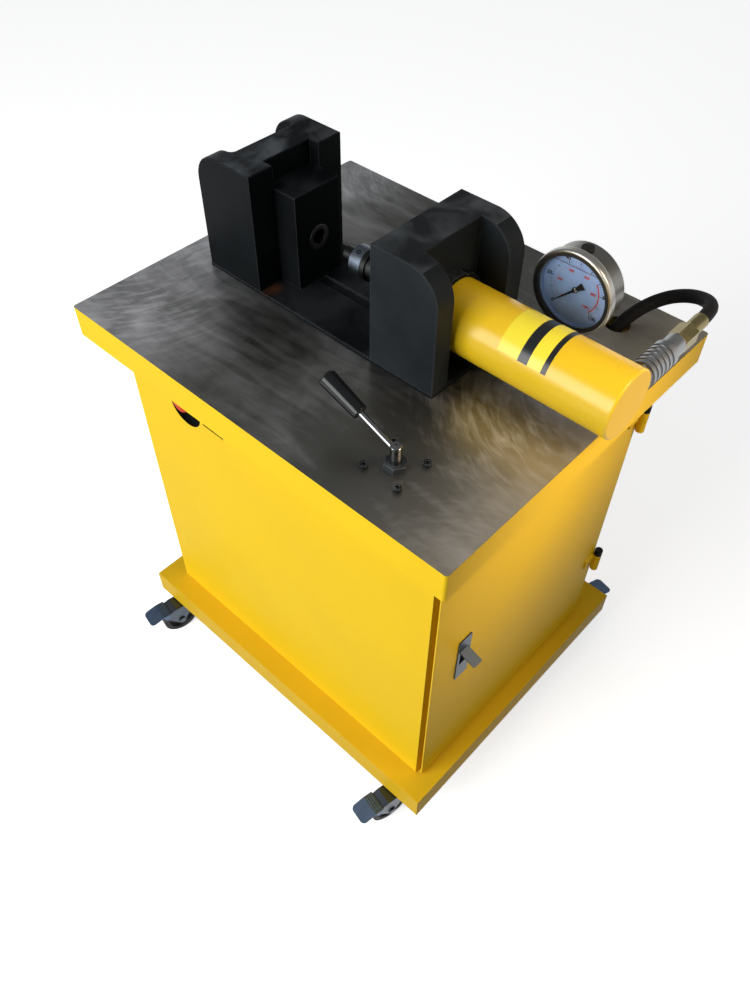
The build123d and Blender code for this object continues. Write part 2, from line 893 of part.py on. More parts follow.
# Punch, seated in the collar against the ram
with BuildPart() as punch:
    revolve(
        turned(
            press_section,
            (punch_tip, 0),
            (punch_tip, punch_radius - die_clearance),
            (punch_tip + die_clearance, punch_radius),
            (ram_end, punch_radius),
            (ram_end, 0),
        ),
        axis=press_axis,
    )
save(punch, "punch")

# Coupler body: port thread, hexagon and the socket that the sleeve slides on
coupler_axis = Axis((port_x, 0, axis_z), (0, 1, 0))
coupler_section = Plane(origin=(port_x, 0, axis_z), x_dir=(0, 1, 0), z_dir=(1, 0, 0))
coupler_hex_end = port_y + coupler_hex_length

with BuildPart() as coupler_body:
    with BuildSketch(Plane.ZX.offset(port_y)):
        with Locations((axis_z, port_x)):
            RegularPolygon(coupler_hex / 2, 6, major_radius=False)
    extrude(amount=coupler_hex_length)
    revolve(
        turned(
            coupler_section,
            (port_y - port_depth, 0),
            (port_y - port_depth, port_radius),
            (port_y, port_radius),
            (coupler_hex_end, coupler_radius),
            (coupler_end - edge_break, coupler_radius),
            (coupler_end, coupler_radius - edge_break),
            (coupler_end, 0),
        ),
        axis=coupler_axis,
    )
save(coupler_body, "coupler_body")

# Coupler sleeve, ridged for grip, free to slide back along the body
sleeve_start = coupler_hex_end + skin_gap
ridge_pitch = (sleeve_length - 2 * sleeve_ridge) / sleeve_ridges

with BuildPart() as coupler_sleeve:
    with BuildSketch(Plane.ZX.offset(sleeve_start)):
        with Locations((axis_z, port_x)):
            Circle(sleeve_radius)
            Circle(coupler_radius + running, mode=Mode.SUBTRACT)
    extrude(amount=sleeve_length)
    for ridge in range(sleeve_ridges):
        with BuildSketch(Plane.ZX.offset(sleeve_start + sleeve_ridge + ridge * ridge_pitch)):
            with Locations((axis_z, port_x)):
                Circle(sleeve_radius)
                Circle(sleeve_radius - sleeve_ridge_depth, mode=Mode.SUBTRACT)
        extrude(amount=ridge_pitch - sleeve_ridge, mode=Mode.SUBTRACT)
save(coupler_sleeve, "coupler_sleeve")

# Hose end fitting: hexagon and crimped ferrule
with BuildPart() as hose_fitting:
    with BuildSketch(Plane.ZX.offset(coupler_end)):
        with Locations((axis_z, port_x)):
            RegularPolygon(fitting_hex / 2, 6, major_radius=False)
    extrude(amount=fitting_hex_length)
    with BuildSketch(Plane.ZX.offset(fitting_hex_end)):
        with Locations((axis_z, port_x)):
            Circle(ferrule_radius)
    extrude(amount=ferrule_length)
    chamfer(hose_fitting.faces().sort_by(Axis.Y)[-1].edges(), length=edge_break)
save(hose_fitting, "hose_fitting")

# Hose: straight runs joined by the largest arcs that the runs allow
hose_start = Vector(port_x, fitting_end, axis_z)
hose_points = [hose_start + Vector(*point) for point in hose_route]
hose_runs = [b - a for a, b in zip(hose_points, hose_points[1:])]
hose_radii = []
for before, after in zip(hose_runs, hose_runs[1:]):
    half_turn = radians(before.get_angle(after)) / 2
    hose_radii.append(hose_arc_share * min(before.length, after.length) / tan(half_turn))
print("hose radii", [round(radius) for radius in hose_radii])

with BuildPart() as hose:
    with BuildLine() as hose_path:
        FilletPolyline(*hose_points, radius=hose_radii)
    with BuildSketch(Plane(origin=hose_points[0], z_dir=hose_runs[0])):
        Circle(hose_diameter / 2)
    sweep()
print("hose length", round(hose_path.wires()[0].length, 1), "volume", round(hose.part.volume))
save(hose, "hose")

# Lower hose end, screwed into the manifold's foot
tail_x, tail_y, tail_top = hose_points[-1]
tail_hex_top = tail_top - tail_ferrule_length
tail_bottom = tail_hex_top - tail_hex_length
foot_top = tail_bottom

with BuildPart() as hose_tail:
    with BuildSketch(Plane.XY.offset(tail_hex_top)):
        with Locations((tail_x, tail_y)):
            Circle(ferrule_radius)
    extrude(amount=tail_ferrule_length)
    with BuildSketch(Plane.XY.offset(tail_bottom)):
        with Locations((tail_x, tail_y)):
            RegularPolygon(fitting_hex / 2, 6, major_radius=False)
    extrude(amount=tail_hex_length)
    with BuildSketch(Plane.XY.offset(tail_bottom - thread_depth)):
        with Locations((tail_x, tail_y)):
            Circle(port_radius)
    extrude(amount=thread_depth)
save(hose_tail, "hose_tail")

# Manifold block, hung under the table on the gauge stem
manifold_x = (gauge_x + tail_x) / 2
manifold_front = stem_y - manifold_depth / 2
foot_end = tail_y + port_radius + manifold_foot_wall

with BuildPart() as manifold_block:
    with BuildSketch(Plane.YZ.offset(manifold_x - manifold_width / 2)):
        with BuildLine():
            Polyline(
                (manifold_front, plate_under),
                (manifold_front, foot_top - manifold_foot),
                (foot_end, foot_top - manifold_foot),
                (foot_end, foot_top),
                (manifold_front + manifold_depth, foot_top),
                (manifold_front + manifold_depth, plate_under),
                close=True,
            )
        make_face()
    extrude(amount=manifold_width)
    with BuildSketch(Plane.XY.offset(foot_top)):
        with Locations((tail_x, tail_y)):
            Circle(port_radius + running)
    extrude(amount=-thread_depth, mode=Mode.SUBTRACT)
    with BuildSketch(Plane.XY.offset(plate_under)):
        with Locations((gauge_x, stem_y)):
            Circle(stem_radius + running)
    extrude(amount=-thread_depth, mode=Mode.SUBTRACT)
save(manifold_block, "manifold_block")

# Gauge: case, bezel, glass, dial, pointer, plug and stem
gauge_z = table_top + gauge_height
gauge_axis = Axis((gauge_x, 0, gauge_z), (0, 1, 0))
gauge_section = Plane(origin=(gauge_x, 0, gauge_z), x_dir=(0, 1, 0), z_dir=(1, 0, 0))
case_back = gauge_front_y + case_depth
case_front = gauge_front_y + glass_setback + glass_thick
case_inside = case_radius - case_wall
bezel_back = gauge_front_y + bezel_depth
glass_front = gauge_front_y + glass_setback
dial_front = gauge_front_y + dial_setback

with BuildPart() as gauge_case:
    revolve(
        turned(
            gauge_section,
            (case_front, case_inside),
            (case_front, case_radius),
            (case_back - edge_break, case_radius),
            (case_back, case_radius - edge_break),
            (case_back, 0),
            (case_back - case_wall, 0),
            (case_back - case_wall, case_inside),
        ),
        axis=gauge_axis,
    )
    with BuildSketch(Plane.XY.offset(gauge_z)):
        with Locations((gauge_x, stem_y)):
            Circle(plug_shank_radius + running)
    extrude(amount=case_radius, mode=Mode.SUBTRACT)
    with BuildSketch(Plane.XY.offset(gauge_z)):
        with Locations((gauge_x, stem_y)):
            Circle(stem_radius + running)
    extrude(amount=-case_radius, mode=Mode.SUBTRACT)
save(gauge_case, "gauge_case")

with BuildPart() as gauge_bezel:
    with BuildSketch(gauge_section) as bezel_profile:
        with BuildLine():
            Polyline(
                (gauge_front_y, bezel_radius - bezel_lip),
                (gauge_front_y, bezel_radius),
                (bezel_back, bezel_radius),
                (bezel_back, case_radius + running),
                (glass_front, case_radius + running),
                (glass_front, bezel_radius - bezel_lip),
                close=True,
            )
        make_face()
        fillet(bezel_profile.vertices().group_by(Axis.Y)[-1], radius=glass_setback)
    revolve(axis=gauge_axis)
save(gauge_bezel, "gauge_bezel")

with BuildPart() as gauge_glass:
    with BuildSketch(Plane.ZX.offset(glass_front)):
        with Locations((gauge_z, gauge_x)):
            Circle(case_radius)
    extrude(amount=glass_thick)
save(gauge_glass, "gauge_glass")

with BuildPart() as gauge_dial:
    with BuildSketch(Plane.ZX.offset(dial_front)):
        with Locations((gauge_z, gauge_x)):
            Circle(case_inside - running)
            Circle(pointer_pin_radius + running, mode=Mode.SUBTRACT)
    extrude(amount=dial_thick)
save(gauge_dial, "gauge_dial")

# Pointer at its zero, turned clockwise from upright as seen from the front
pointer_back = dial_front - pointer_stand_off
pointer_angle = radians(pointer_zero)
pointer_dir = Vector(sin(pointer_angle), 0, cos(pointer_angle))
pointer_plane = Plane(origin=(gauge_x, pointer_back, gauge_z), x_dir=pointer_dir, z_dir=(0, -1, 0))

with BuildPart() as gauge_pointer:
    with BuildSketch(pointer_plane):
        with BuildLine():
            Polyline(
                (-pointer_tail, -pointer_tail_width / 2),
                (-pointer_tail, pointer_tail_width / 2),
                (0, pointer_width / 2),
                (pointer_length, pointer_thick / 2),
                (pointer_length, -pointer_thick / 2),
                (0, -pointer_width / 2),
                close=True,
            )
        make_face()
        Circle(pointer_hub_radius)
    extrude(amount=pointer_thick)
    with BuildSketch(pointer_plane):
        Circle(pointer_pin_radius)
    extrude(amount=-(pointer_stand_off + 2 * dial_thick))
save(gauge_pointer, "gauge_pointer")

with BuildPart() as gauge_plug:
    with BuildSketch(Plane.XY.offset(gauge_z + case_radius - plug_height)):
        with Locations((gauge_x, stem_y)):
            Circle(plug_radius)
    extrude(amount=2 * plug_height)
    fillet(gauge_plug.faces().sort_by(Axis.Z)[-1].edges(), radius=edge_break)
    with BuildSketch(Plane.ZX.offset(stem_y - plug_radius)):
        with Locations((gauge_z, gauge_x)):
            Circle(case_radius + running)
    extrude(amount=2 * plug_radius, mode=Mode.SUBTRACT)
    with BuildSketch(Plane.XY.offset(gauge_z + case_inside - edge_break)):
        with Locations((gauge_x, stem_y)):
            Circle(plug_shank_radius)
    extrude(amount=plug_height)
save(gauge_plug, "gauge_plug")

with BuildPart() as gauge_stem:
    with BuildSketch(Plane.XY.offset(plate_under - thread_depth)):
        with Locations((gauge_x, stem_y)):
            Circle(stem_radius)
    extrude(amount=gauge_z - case_inside + case_wall - plate_under + thread_depth)
    with BuildSketch(Plane.XY.offset(table_top)):
        with Locations((gauge_x, stem_y)):
            RegularPolygon(stem_hex / 2, 6, major_radius=False)
    extrude(amount=stem_hex_length)
save(gauge_stem, "gauge_stem")

# Lever valve: body under the table, spindle nut and screws above it
with BuildPart() as valve_body:
    with BuildSketch(Plane.XY.offset(plate_under)):
        with Locations((valve_x, valve_y)):
            Rectangle(valve_body_size, valve_body_size)
    extrude(amount=-valve_body_height)
    with BuildSketch(Plane.XY.offset(plate_under)):
        with Locations((valve_x, valve_y)):
            Circle(hub_radius + running)
    extrude(amount=-(spindle_depth + skin_gap), mode=Mode.SUBTRACT)
    with BuildSketch(Plane.XY.offset(plate_under)):
        with Locations((valve_x, valve_y)):
            with GridLocations(screw_pitch, screw_pitch, 2, 2):
                Circle(screw_radius + running)
    extrude(amount=-screw_grip - skin_gap, mode=Mode.SUBTRACT)
save(valve_body, "valve_body")

with BuildPart() as valve_nut:
    with BuildSketch(Plane.XY.offset(table_top)):
        with Locations((valve_x, valve_y)):
            RegularPolygon(valve_nut_hex / 2, 6, major_radius=False)
            Circle(hub_radius + running, mode=Mode.SUBTRACT)
    extrude(amount=valve_nut_height)
    revolve(
        turned(
            Plane(origin=(valve_x, valve_y, table_top), x_dir=(0, 0, 1), z_dir=(0, 1, 0)),
            (0, 0),
            (0, valve_nut_hex),
            (valve_nut_height - 2 * edge_break, valve_nut_hex / 2 + 2 * edge_break),
            (valve_nut_height, valve_nut_hex / 2),
            (valve_nut_height, 0),
        ),
        axis=Axis((valve_x, valve_y, 0), (0, 0, 1)),
        mode=Mode.INTERSECT,
    )
save(valve_nut, "valve_nut")

with BuildPart() as valve_screws:
    with BuildSketch(Plane.XY.offset(plate_under - screw_grip)):
        with Locations((valve_x, valve_y)):
            with GridLocations(screw_pitch, screw_pitch, 2, 2):
                Circle(screw_radius)
    extrude(amount=screw_grip + plate_thick)
    with BuildSketch(Plane.XY.offset(table_top)):
        with Locations((valve_x, valve_y)):
            with GridLocations(screw_pitch, screw_pitch, 2, 2):
                Circle(screw_head_radius)
    extrude(amount=screw_head_height)
    with BuildSketch(Plane.XY.offset(table_top + screw_head_height)):
        with Locations((valve_x, valve_y)):
            with GridLocations(screw_pitch, screw_pitch, 2, 2):
                RegularPolygon(screw_socket / 2, 6, major_radius=False)
    extrude(amount=-screw_socket_depth, mode=Mode.SUBTRACT)
save(valve_screws, "valve_screws")

# Lever: spindle with its hub and the rod that rises to the left
lever_dir = Vector(-cos(radians(lever_rise)), 0, sin(radians(lever_rise)))
lever_start = Vector(valve_x, valve_y, table_top + lever_height)
lever_plane = Plane(origin=lever_start, x_dir=(0, 1, 0), z_dir=lever_dir)
grip_axis = Axis(lever_start, lever_dir)
grip_section = Plane(origin=lever_start, x_dir=lever_dir, z_dir=(0, 1, 0))
grip_end = grip_start + grip_length

with BuildPart() as valve_lever:
    with BuildSketch(Plane.XY.offset(plate_under - spindle_depth)):
        with Locations((valve_x, valve_y)):
            Circle(hub_radius)
    extrude(amount=spindle_depth + plate_thick + hub_height)
    chamfer(valve_lever.faces().sort_by(Axis.Z)[-1].edges(), length=edge_break)
    with BuildSketch(Plane.XY.offset(table_top + hub_height)):
        with Locations((valve_x, valve_y)):
            Circle(hub_pit_radius)
    extrude(amount=-hub_pit_depth, mode=Mode.SUBTRACT)
    with BuildSketch(lever_plane):
        Circle(lever_radius)
    extrude(amount=grip_start + grip_bore_depth - skin_gap)
save(valve_lever, "valve_lever")

with BuildPart() as lever_grip:
    with BuildSketch(grip_section):
        with BuildLine():
            Polyline(
                (grip_start + grip_bore_depth, 0),
                (grip_start + grip_bore_depth, lever_radius + running),
                (grip_start, lever_radius + running),
                (grip_start, grip_neck_radius - edge_break),
                (grip_start + edge_break, grip_neck_radius),
                (grip_end, grip_end_radius),
                (grip_end, 0),
                close=True,
            )
        make_face()
    revolve(axis=grip_axis)
    end_rim = lever_grip.edges().filter_by(GeomType.CIRCLE).sort_by(grip_axis)[-1]
    fillet(end_rim, radius=grip_end_round)
save(lever_grip, "lever_grip")

# Switch box behind the front panel's hole, with a recessed face for the two buttons
panel_inner = front_y + wall_sheet
switch_face = panel_inner + switch_pocket_depth
button_places = [(button_z, button_x - button_pitch / 2), (button_z, button_x + button_pitch / 2)]
button_well = button_travel + button_air

with BuildPart() as switch_box:
    with BuildSketch(Plane.ZX.offset(panel_inner)):
        with Locations((button_z, button_x)):
            Rectangle(switch_height, switch_width)
    extrude(amount=switch_depth)
    with BuildSketch(Plane.ZX.offset(panel_inner)):
        with Locations((button_z, button_x)):
            Circle(switch_pocket_radius)
    extrude(amount=switch_pocket_depth, mode=Mode.SUBTRACT)
    with BuildSketch(Plane.ZX.offset(switch_face)):
        with Locations(*button_places):
            Circle(button_radius + skin_gap)
    extrude(amount=button_well, mode=Mode.SUBTRACT)
    with BuildSketch(Plane.ZX.offset(switch_face)):
        with Locations(*button_places):
            Circle(button_stem_radius + running)
    extrude(amount=button_well + button_stem_length + button_well, mode=Mode.SUBTRACT)
save(switch_box, "switch_box")

for button_name, button_place in zip(("stop_button", "start_button"), button_places):
    with BuildPart() as button:
        with BuildSketch(Plane.ZX.offset(switch_face + button_air - button_head)):
            with Locations(button_place):
                Circle(button_radius)
        extrude(amount=button_head)
        fillet(button.faces().sort_by(Axis.Y)[0].edges(), radius=edge_break)
        with BuildSketch(Plane.ZX.offset(switch_face + button_air)):
            with Locations(button_place):
                Circle(button_stem_radius)
        extrude(amount=button_stem_length + button_travel)
    save(button, button_name)

# Power pack: oil tank on the base, lid, motor above it and pump below it
tank_cx = left_x + wall_sheet + tank_margin + tank_length / 2
lid_z = base_top + tank_height
motor_z = lid_z + lid_thick
motor_top = motor_z + motor_height
cap_z = motor_top - motor_cap_height

with BuildPart() as oil_tank:
    with BuildSketch(Plane.XY.offset(base_top)):
        with Locations((tank_cx, cabinet_cy)):
            Rectangle(tank_length, tank_width)
    extrude(amount=tank_height)
    fillet(oil_tank.edges().filter_by(Axis.Z), radius=tank_corner)
    offset(amount=-tank_wall, openings=oil_tank.faces().sort_by(Axis.Z)[-1])
save(oil_tank, "oil_tank")

with BuildPart() as tank_lid:
    with BuildSketch(Plane.XY.offset(lid_z)):
        with Locations((tank_cx, cabinet_cy)):
            RectangleRounded(
                tank_length + 2 * lid_overhang, tank_width + 2 * lid_overhang, tank_corner
            )
    extrude(amount=lid_thick)
save(tank_lid, "tank_lid")

with BuildPart() as pump_motor:
    with BuildSketch(Plane.XY.offset(motor_z)):
        with Locations((tank_cx, cabinet_cy)):
            Circle(motor_flange_radius)
    extrude(amount=motor_flange_thick)
    with BuildSketch(Plane.XY.offset(motor_z)):
        with Locations((tank_cx, cabinet_cy)):
            Circle(motor_radius)
            with PolarLocations(motor_radius, motor_fins):
                Rectangle(2 * motor_fin_depth, motor_fin_thick)
    extrude(amount=cap_z - motor_z)
    with BuildSketch(Plane.XY.offset(cap_z)):
        with Locations((tank_cx, cabinet_cy)):
            Circle(motor_radius + motor_fin_depth)
    extrude(amount=motor_cap_height)
    fillet(pump_motor.faces().sort_by(Axis.Z)[-1].edges(), radius=motor_fin_depth)
save(pump_motor, "pump_motor")

with BuildPart() as pump_body:
    with BuildSketch(Plane.XY.offset(lid_z)):
        with Locations((tank_cx, cabinet_cy)):
            Circle(pump_radius)
    extrude(amount=-pump_height)
    chamfer(pump_body.faces().sort_by(Axis.Z)[0].edges(), length=motor_fin_depth)
save(pump_body, "pump_body")

# Casters: top plates and kingpins stay with the base
caster_x = base_length / 2 - caster_inset_x
caster_y = base_width / 2 - caster_inset_y
casters = {
    "front_left": (-1, -1),
    "front_right": (1, -1),
    "rear_left": (-1, 1),
    "rear_right": (1, 1),
}
race_bottom = caster_height - top_plate_thick - race_height
crown_top = race_bottom - race_gap
crown_bottom = crown_top - fork_crown

with BuildPart() as caster_plates:
    for side_x, side_y in casters.values():
        with BuildSketch(Plane.XY.offset(caster_height)):
            with Locations((table_cx + side_x * caster_x, side_y * caster_y)):
                Rectangle(top_plate_length, top_plate_width)
        extrude(amount=-top_plate_thick)
        with BuildSketch(Plane.XY.offset(race_bottom)):
            with Locations((table_cx + side_x * caster_x, side_y * caster_y)):
                Circle(race_radius)
        extrude(amount=race_height)
        with BuildSketch(Plane.XY.offset(crown_bottom - race_gap)):
            with Locations((table_cx + side_x * caster_x, side_y * caster_y)):
                Circle(kingpin_radius)
        extrude(amount=race_bottom - crown_bottom + race_gap)
        with BuildSketch(Plane.XY.offset(crown_bottom - race_gap)):
            with Locations((table_cx + side_x * caster_x, side_y * caster_y)):
                Circle(kingpin_head_radius)
        extrude(amount=-kingpin_head)
save(caster_plates, "caster_plates")

# Fork, wheel and brake pedal, drawn in the fork's own side plane: local x is the trail, local y the height
wheel_radius = wheel_diameter / 2
fork_inner = wheel_width / 2 + fork_gap
fork_outer = fork_inner + fork_sheet
pedal_inner = fork_outer + pedal_side_gap
pedal_outer = pedal_inner + pedal_sheet
axle_u, axle_v = caster_trail, wheel_radius
pedal_pin_swing = wheel_radius + pedal_pin_radius + fork_gap
pedal_u = axle_u + pedal_pin_swing * cos(radians(pedal_pin_angle))
pedal_v = axle_v + pedal_pin_swing * sin(radians(pedal_pin_angle))
pedal_ear = pedal_pin_radius + pedal_pin_ring
tread_v = pedal_v + pedal_ear + pedal_lift
shoulder_u = race_radius + fork_crown
shoulder_v = rim_bottom - fork_crown
fork_end_u = pedal_u - pedal_heel - skin_gap
fork_slope = (pedal_v + pedal_ear - shoulder_v) / (pedal_u - fork_top_reach)
fork_end_v = shoulder_v + fork_slope * (fork_end_u - fork_top_reach)

for caster_name, (side_x, side_y) in casters.items():
    turn = radians(caster_turn)
    trail_dir = Vector(side_y * sin(turn), side_y * cos(turn), 0)
    axle_dir = trail_dir.cross(Vector(0, 0, 1))
    swivel = Vector(table_cx + side_x * caster_x, side_y * caster_y, 0)
    side = Plane(origin=swivel, x_dir=trail_dir, z_dir=axle_dir)
    wheel_center = swivel + trail_dir * axle_u + Vector(0, 0, axle_v)

    with BuildPart() as caster_fork:
        for cheek in (-fork_outer, fork_inner):
            with BuildSketch(side.offset(cheek)):
                with Locations((axle_u, axle_v)):
                    Circle(axle_head_radius + pedal_pin_ring)
                with Locations((pedal_u, pedal_v)):
                    Circle(pedal_ear)
                make_hull()
                with BuildLine():
                    Polyline(
                        (-fork_back, crown_top),
                        (race_radius - fork_crown, crown_top),
                        (shoulder_u, shoulder_v),
                        (fork_top_reach, shoulder_v),
                        (pedal_u, pedal_v + pedal_ear),
                        (axle_u, axle_v),
                        (axle_u - axle_head_radius - pedal_pin_ring, axle_v),
                        close=True,
                    )
                make_face()
                with Locations((axle_u, axle_v)):
                    Circle(axle_radius + running, mode=Mode.SUBTRACT)
                with Locations((pedal_u, pedal_v)):
                    Circle(pedal_pin_radius + running, mode=Mode.SUBTRACT)
            extrude(amount=fork_sheet)
        neck = (race_radius - fork_crown, crown_top)
        shoulder = (shoulder_u, shoulder_v)
        bend = (fork_top_reach, shoulder_v)
        for line in ((neck, shoulder, bend), (shoulder, bend, (fork_end_u, fork_end_v))):
            extrude(folded(side.offset(-fork_outer), fork_sheet, *line), amount=2 * fork_outer)
        with BuildSketch(Plane.XY.offset(crown_bottom)):
            with Locations((swivel.X, swivel.Y)):
                Circle(race_radius)
                Circle(kingpin_radius + running, mode=Mode.SUBTRACT)
        extrude(amount=fork_crown)
        with BuildSketch(side):
            with Locations((axle_u, axle_v)):
                Circle(axle_radius)
        extrude(amount=fork_outer + running, both=True)
        for head in (side.offset(fork_outer + running), side.offset(-fork_outer - running - axle_head)):
            with BuildSketch(head):
                with Locations((axle_u, axle_v)):
                    RegularPolygon(axle_head_radius, 6)
            extrude(amount=axle_head)
    save(caster_fork, f"caster_fork_{caster_name}")

    with BuildPart() as caster_wheel:
        wheel_section = Plane(origin=wheel_center, x_dir=axle_dir, z_dir=trail_dir)
        half = wheel_width / 2
        recess = half - wheel_recess
        rim_radius = wheel_radius - tyre_depth
        with BuildSketch(wheel_section) as wheel_profile:
            with BuildLine():
                Polyline(
                    (-half - fork_gap / 2, axle_radius + running),
                    (-half - fork_gap / 2, hub_boss_radius),
                    (-recess, hub_boss_radius + tyre_round),
                    (-recess, rim_radius - tyre_round),
                    (-half, rim_radius),
                    (-half, wheel_radius),
                    (half, wheel_radius),
                    (half, rim_radius),
                    (recess, rim_radius - tyre_round),
                    (recess, hub_boss_radius + tyre_round),
                    (half + fork_gap / 2, hub_boss_radius),
                    (half + fork_gap / 2, axle_radius + running),
                    close=True,
                )
            make_face()
            fillet(wheel_profile.vertices().group_by(Axis.Y)[-1], radius=tyre_round)
        revolve(axis=Axis(wheel_center, axle_dir))
    save(caster_wheel, f"caster_wheel_{caster_name}")

    with BuildPart() as caster_pedal:
        tread = folded(
            side.offset(-pedal_outer),
            pedal_sheet,
            (pedal_u - pedal_heel, tread_v + pedal_sheet),
            (pedal_u + pedal_knee, tread_v + pedal_sheet),
            (pedal_u + pedal_reach, tread_v + pedal_sheet - pedal_drop),
        )
        extrude(tread, amount=2 * pedal_outer)
        tread_line = trail_dir * (pedal_reach - pedal_knee) - Vector(0, 0, pedal_drop)
        knee = swivel + trail_dir * (pedal_u + pedal_knee) + Vector(0, 0, tread_v + pedal_sheet)
        tread_normal = Axis(knee, axle_dir.cross(tread_line))
        tip_corners = caster_pedal.edges().filter_by(tread_normal).sort_by_distance(swivel)[-2:]
        fillet(tip_corners, radius=pedal_tip_round)
        flat_middle = knee - trail_dir * (pedal_knee + pedal_heel) / 2
        with BuildSketch(Plane(origin=flat_middle, x_dir=trail_dir, z_dir=(0, 0, 1))):
            with GridLocations(pedal_ridge_pitch, 0, pedal_ridges, 1):
                Rectangle(pedal_ridge, 2 * pedal_inner - 2 * pedal_sheet)
        extrude(amount=pedal_ridge_height)
        for ear in (-pedal_outer, pedal_inner):
            with BuildSketch(side.offset(ear)):
                with Locations((pedal_u, pedal_v)):
                    Circle(pedal_ear)
                with BuildLine():
                    Polyline(
                        (pedal_u - pedal_ear, pedal_v),
                        (pedal_u + pedal_ear, pedal_v),
                        (pedal_u + pedal_knee, tread_v + pedal_sheet),
                        (pedal_u - pedal_heel, tread_v + pedal_sheet),
                        close=True,
                    )
                make_face()
            extrude(amount=pedal_sheet)
        with BuildSketch(side):
            with Locations((pedal_u, pedal_v)):
                Circle(pedal_pin_radius)
        extrude(amount=pedal_outer, both=True)
    save(caster_pedal, f"caster_pedal_{caster_name}")
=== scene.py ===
"""Looks of a hydraulic busbar punch on a wheeled cabinet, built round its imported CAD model."""
import json
import math
from functools import partial

import bmesh
import bpy
from bpy.props import FloatProperty, FloatVectorProperty, PointerProperty
from mathutils import Matrix, Vector

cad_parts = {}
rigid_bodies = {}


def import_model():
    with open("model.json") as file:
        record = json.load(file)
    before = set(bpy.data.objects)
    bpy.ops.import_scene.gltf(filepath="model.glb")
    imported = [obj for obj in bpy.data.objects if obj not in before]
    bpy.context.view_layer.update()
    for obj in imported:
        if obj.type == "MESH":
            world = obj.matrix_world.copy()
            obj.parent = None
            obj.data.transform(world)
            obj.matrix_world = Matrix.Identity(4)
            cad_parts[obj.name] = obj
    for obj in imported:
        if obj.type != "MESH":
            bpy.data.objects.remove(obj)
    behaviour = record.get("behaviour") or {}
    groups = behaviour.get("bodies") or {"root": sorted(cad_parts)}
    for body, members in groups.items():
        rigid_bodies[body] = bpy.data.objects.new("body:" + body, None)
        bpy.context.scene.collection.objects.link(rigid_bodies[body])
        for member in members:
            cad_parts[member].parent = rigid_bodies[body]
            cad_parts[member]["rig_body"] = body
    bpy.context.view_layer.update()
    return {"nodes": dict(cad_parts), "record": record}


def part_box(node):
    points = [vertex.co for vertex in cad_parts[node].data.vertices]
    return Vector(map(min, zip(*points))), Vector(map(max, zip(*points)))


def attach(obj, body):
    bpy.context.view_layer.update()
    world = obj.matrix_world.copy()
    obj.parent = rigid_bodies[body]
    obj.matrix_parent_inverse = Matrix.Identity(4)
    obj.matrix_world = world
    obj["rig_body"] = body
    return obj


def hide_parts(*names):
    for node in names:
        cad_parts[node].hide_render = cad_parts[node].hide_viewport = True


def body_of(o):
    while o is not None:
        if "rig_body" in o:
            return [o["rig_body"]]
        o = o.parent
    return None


bl_info = {
    "name": "Busbar punch looks",
    "version": (1, 0, 0),
    "blender": (4, 5, 0),
    "location": "3D View > Sidebar > Busbar",
    "description": "Dresses the packed busbar punch and sets it on a studio floor",
    "category": "Object",
}

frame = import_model()
nodes = frame["nodes"]
slot_of = {part["node"]: part["material_slot"] for part in frame["record"]["subparts"]}
# Corners closer than this become one
weld = 1e-6


def middle(node):
    """Centre of a CAD node's box."""
    low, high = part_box(node)
    return (low + high) / 2


class Signal:
    """A shader socket that stands in Python sums and adds its own Math nodes."""

    def __init__(self, sheet, socket):
        self.sheet = sheet
        self.socket = socket

    def __add__(self, other):
        return self.sheet.math("ADD", self, other)

    __radd__ = __add__

    def __sub__(self, other):
        return self.sheet.math("SUBTRACT", self, other)

    def __rsub__(self, other):
        return self.sheet.math("SUBTRACT", other, self)

    def __mul__(self, other):
        return self.sheet.math("MULTIPLY", self, other)

    __rmul__ = __mul__

    def __truediv__(self, other):
        return self.sheet.math("DIVIDE", self, other)

    def __rtruediv__(self, other):
        return self.sheet.math("DIVIDE", other, self)

    def __pow__(self, other):
        return self.sheet.math("POWER", self, other)

    def __gt__(self, other):
        return self.sheet.math("GREATER_THAN", self, other)

    def __lt__(self, other):
        return self.sheet.math("LESS_THAN", self, other)

    def __and__(self, other):
        return self.sheet.math("MINIMUM", self, other)

    def __or__(self, other):
        return self.sheet.math("MAXIMUM", self, other)


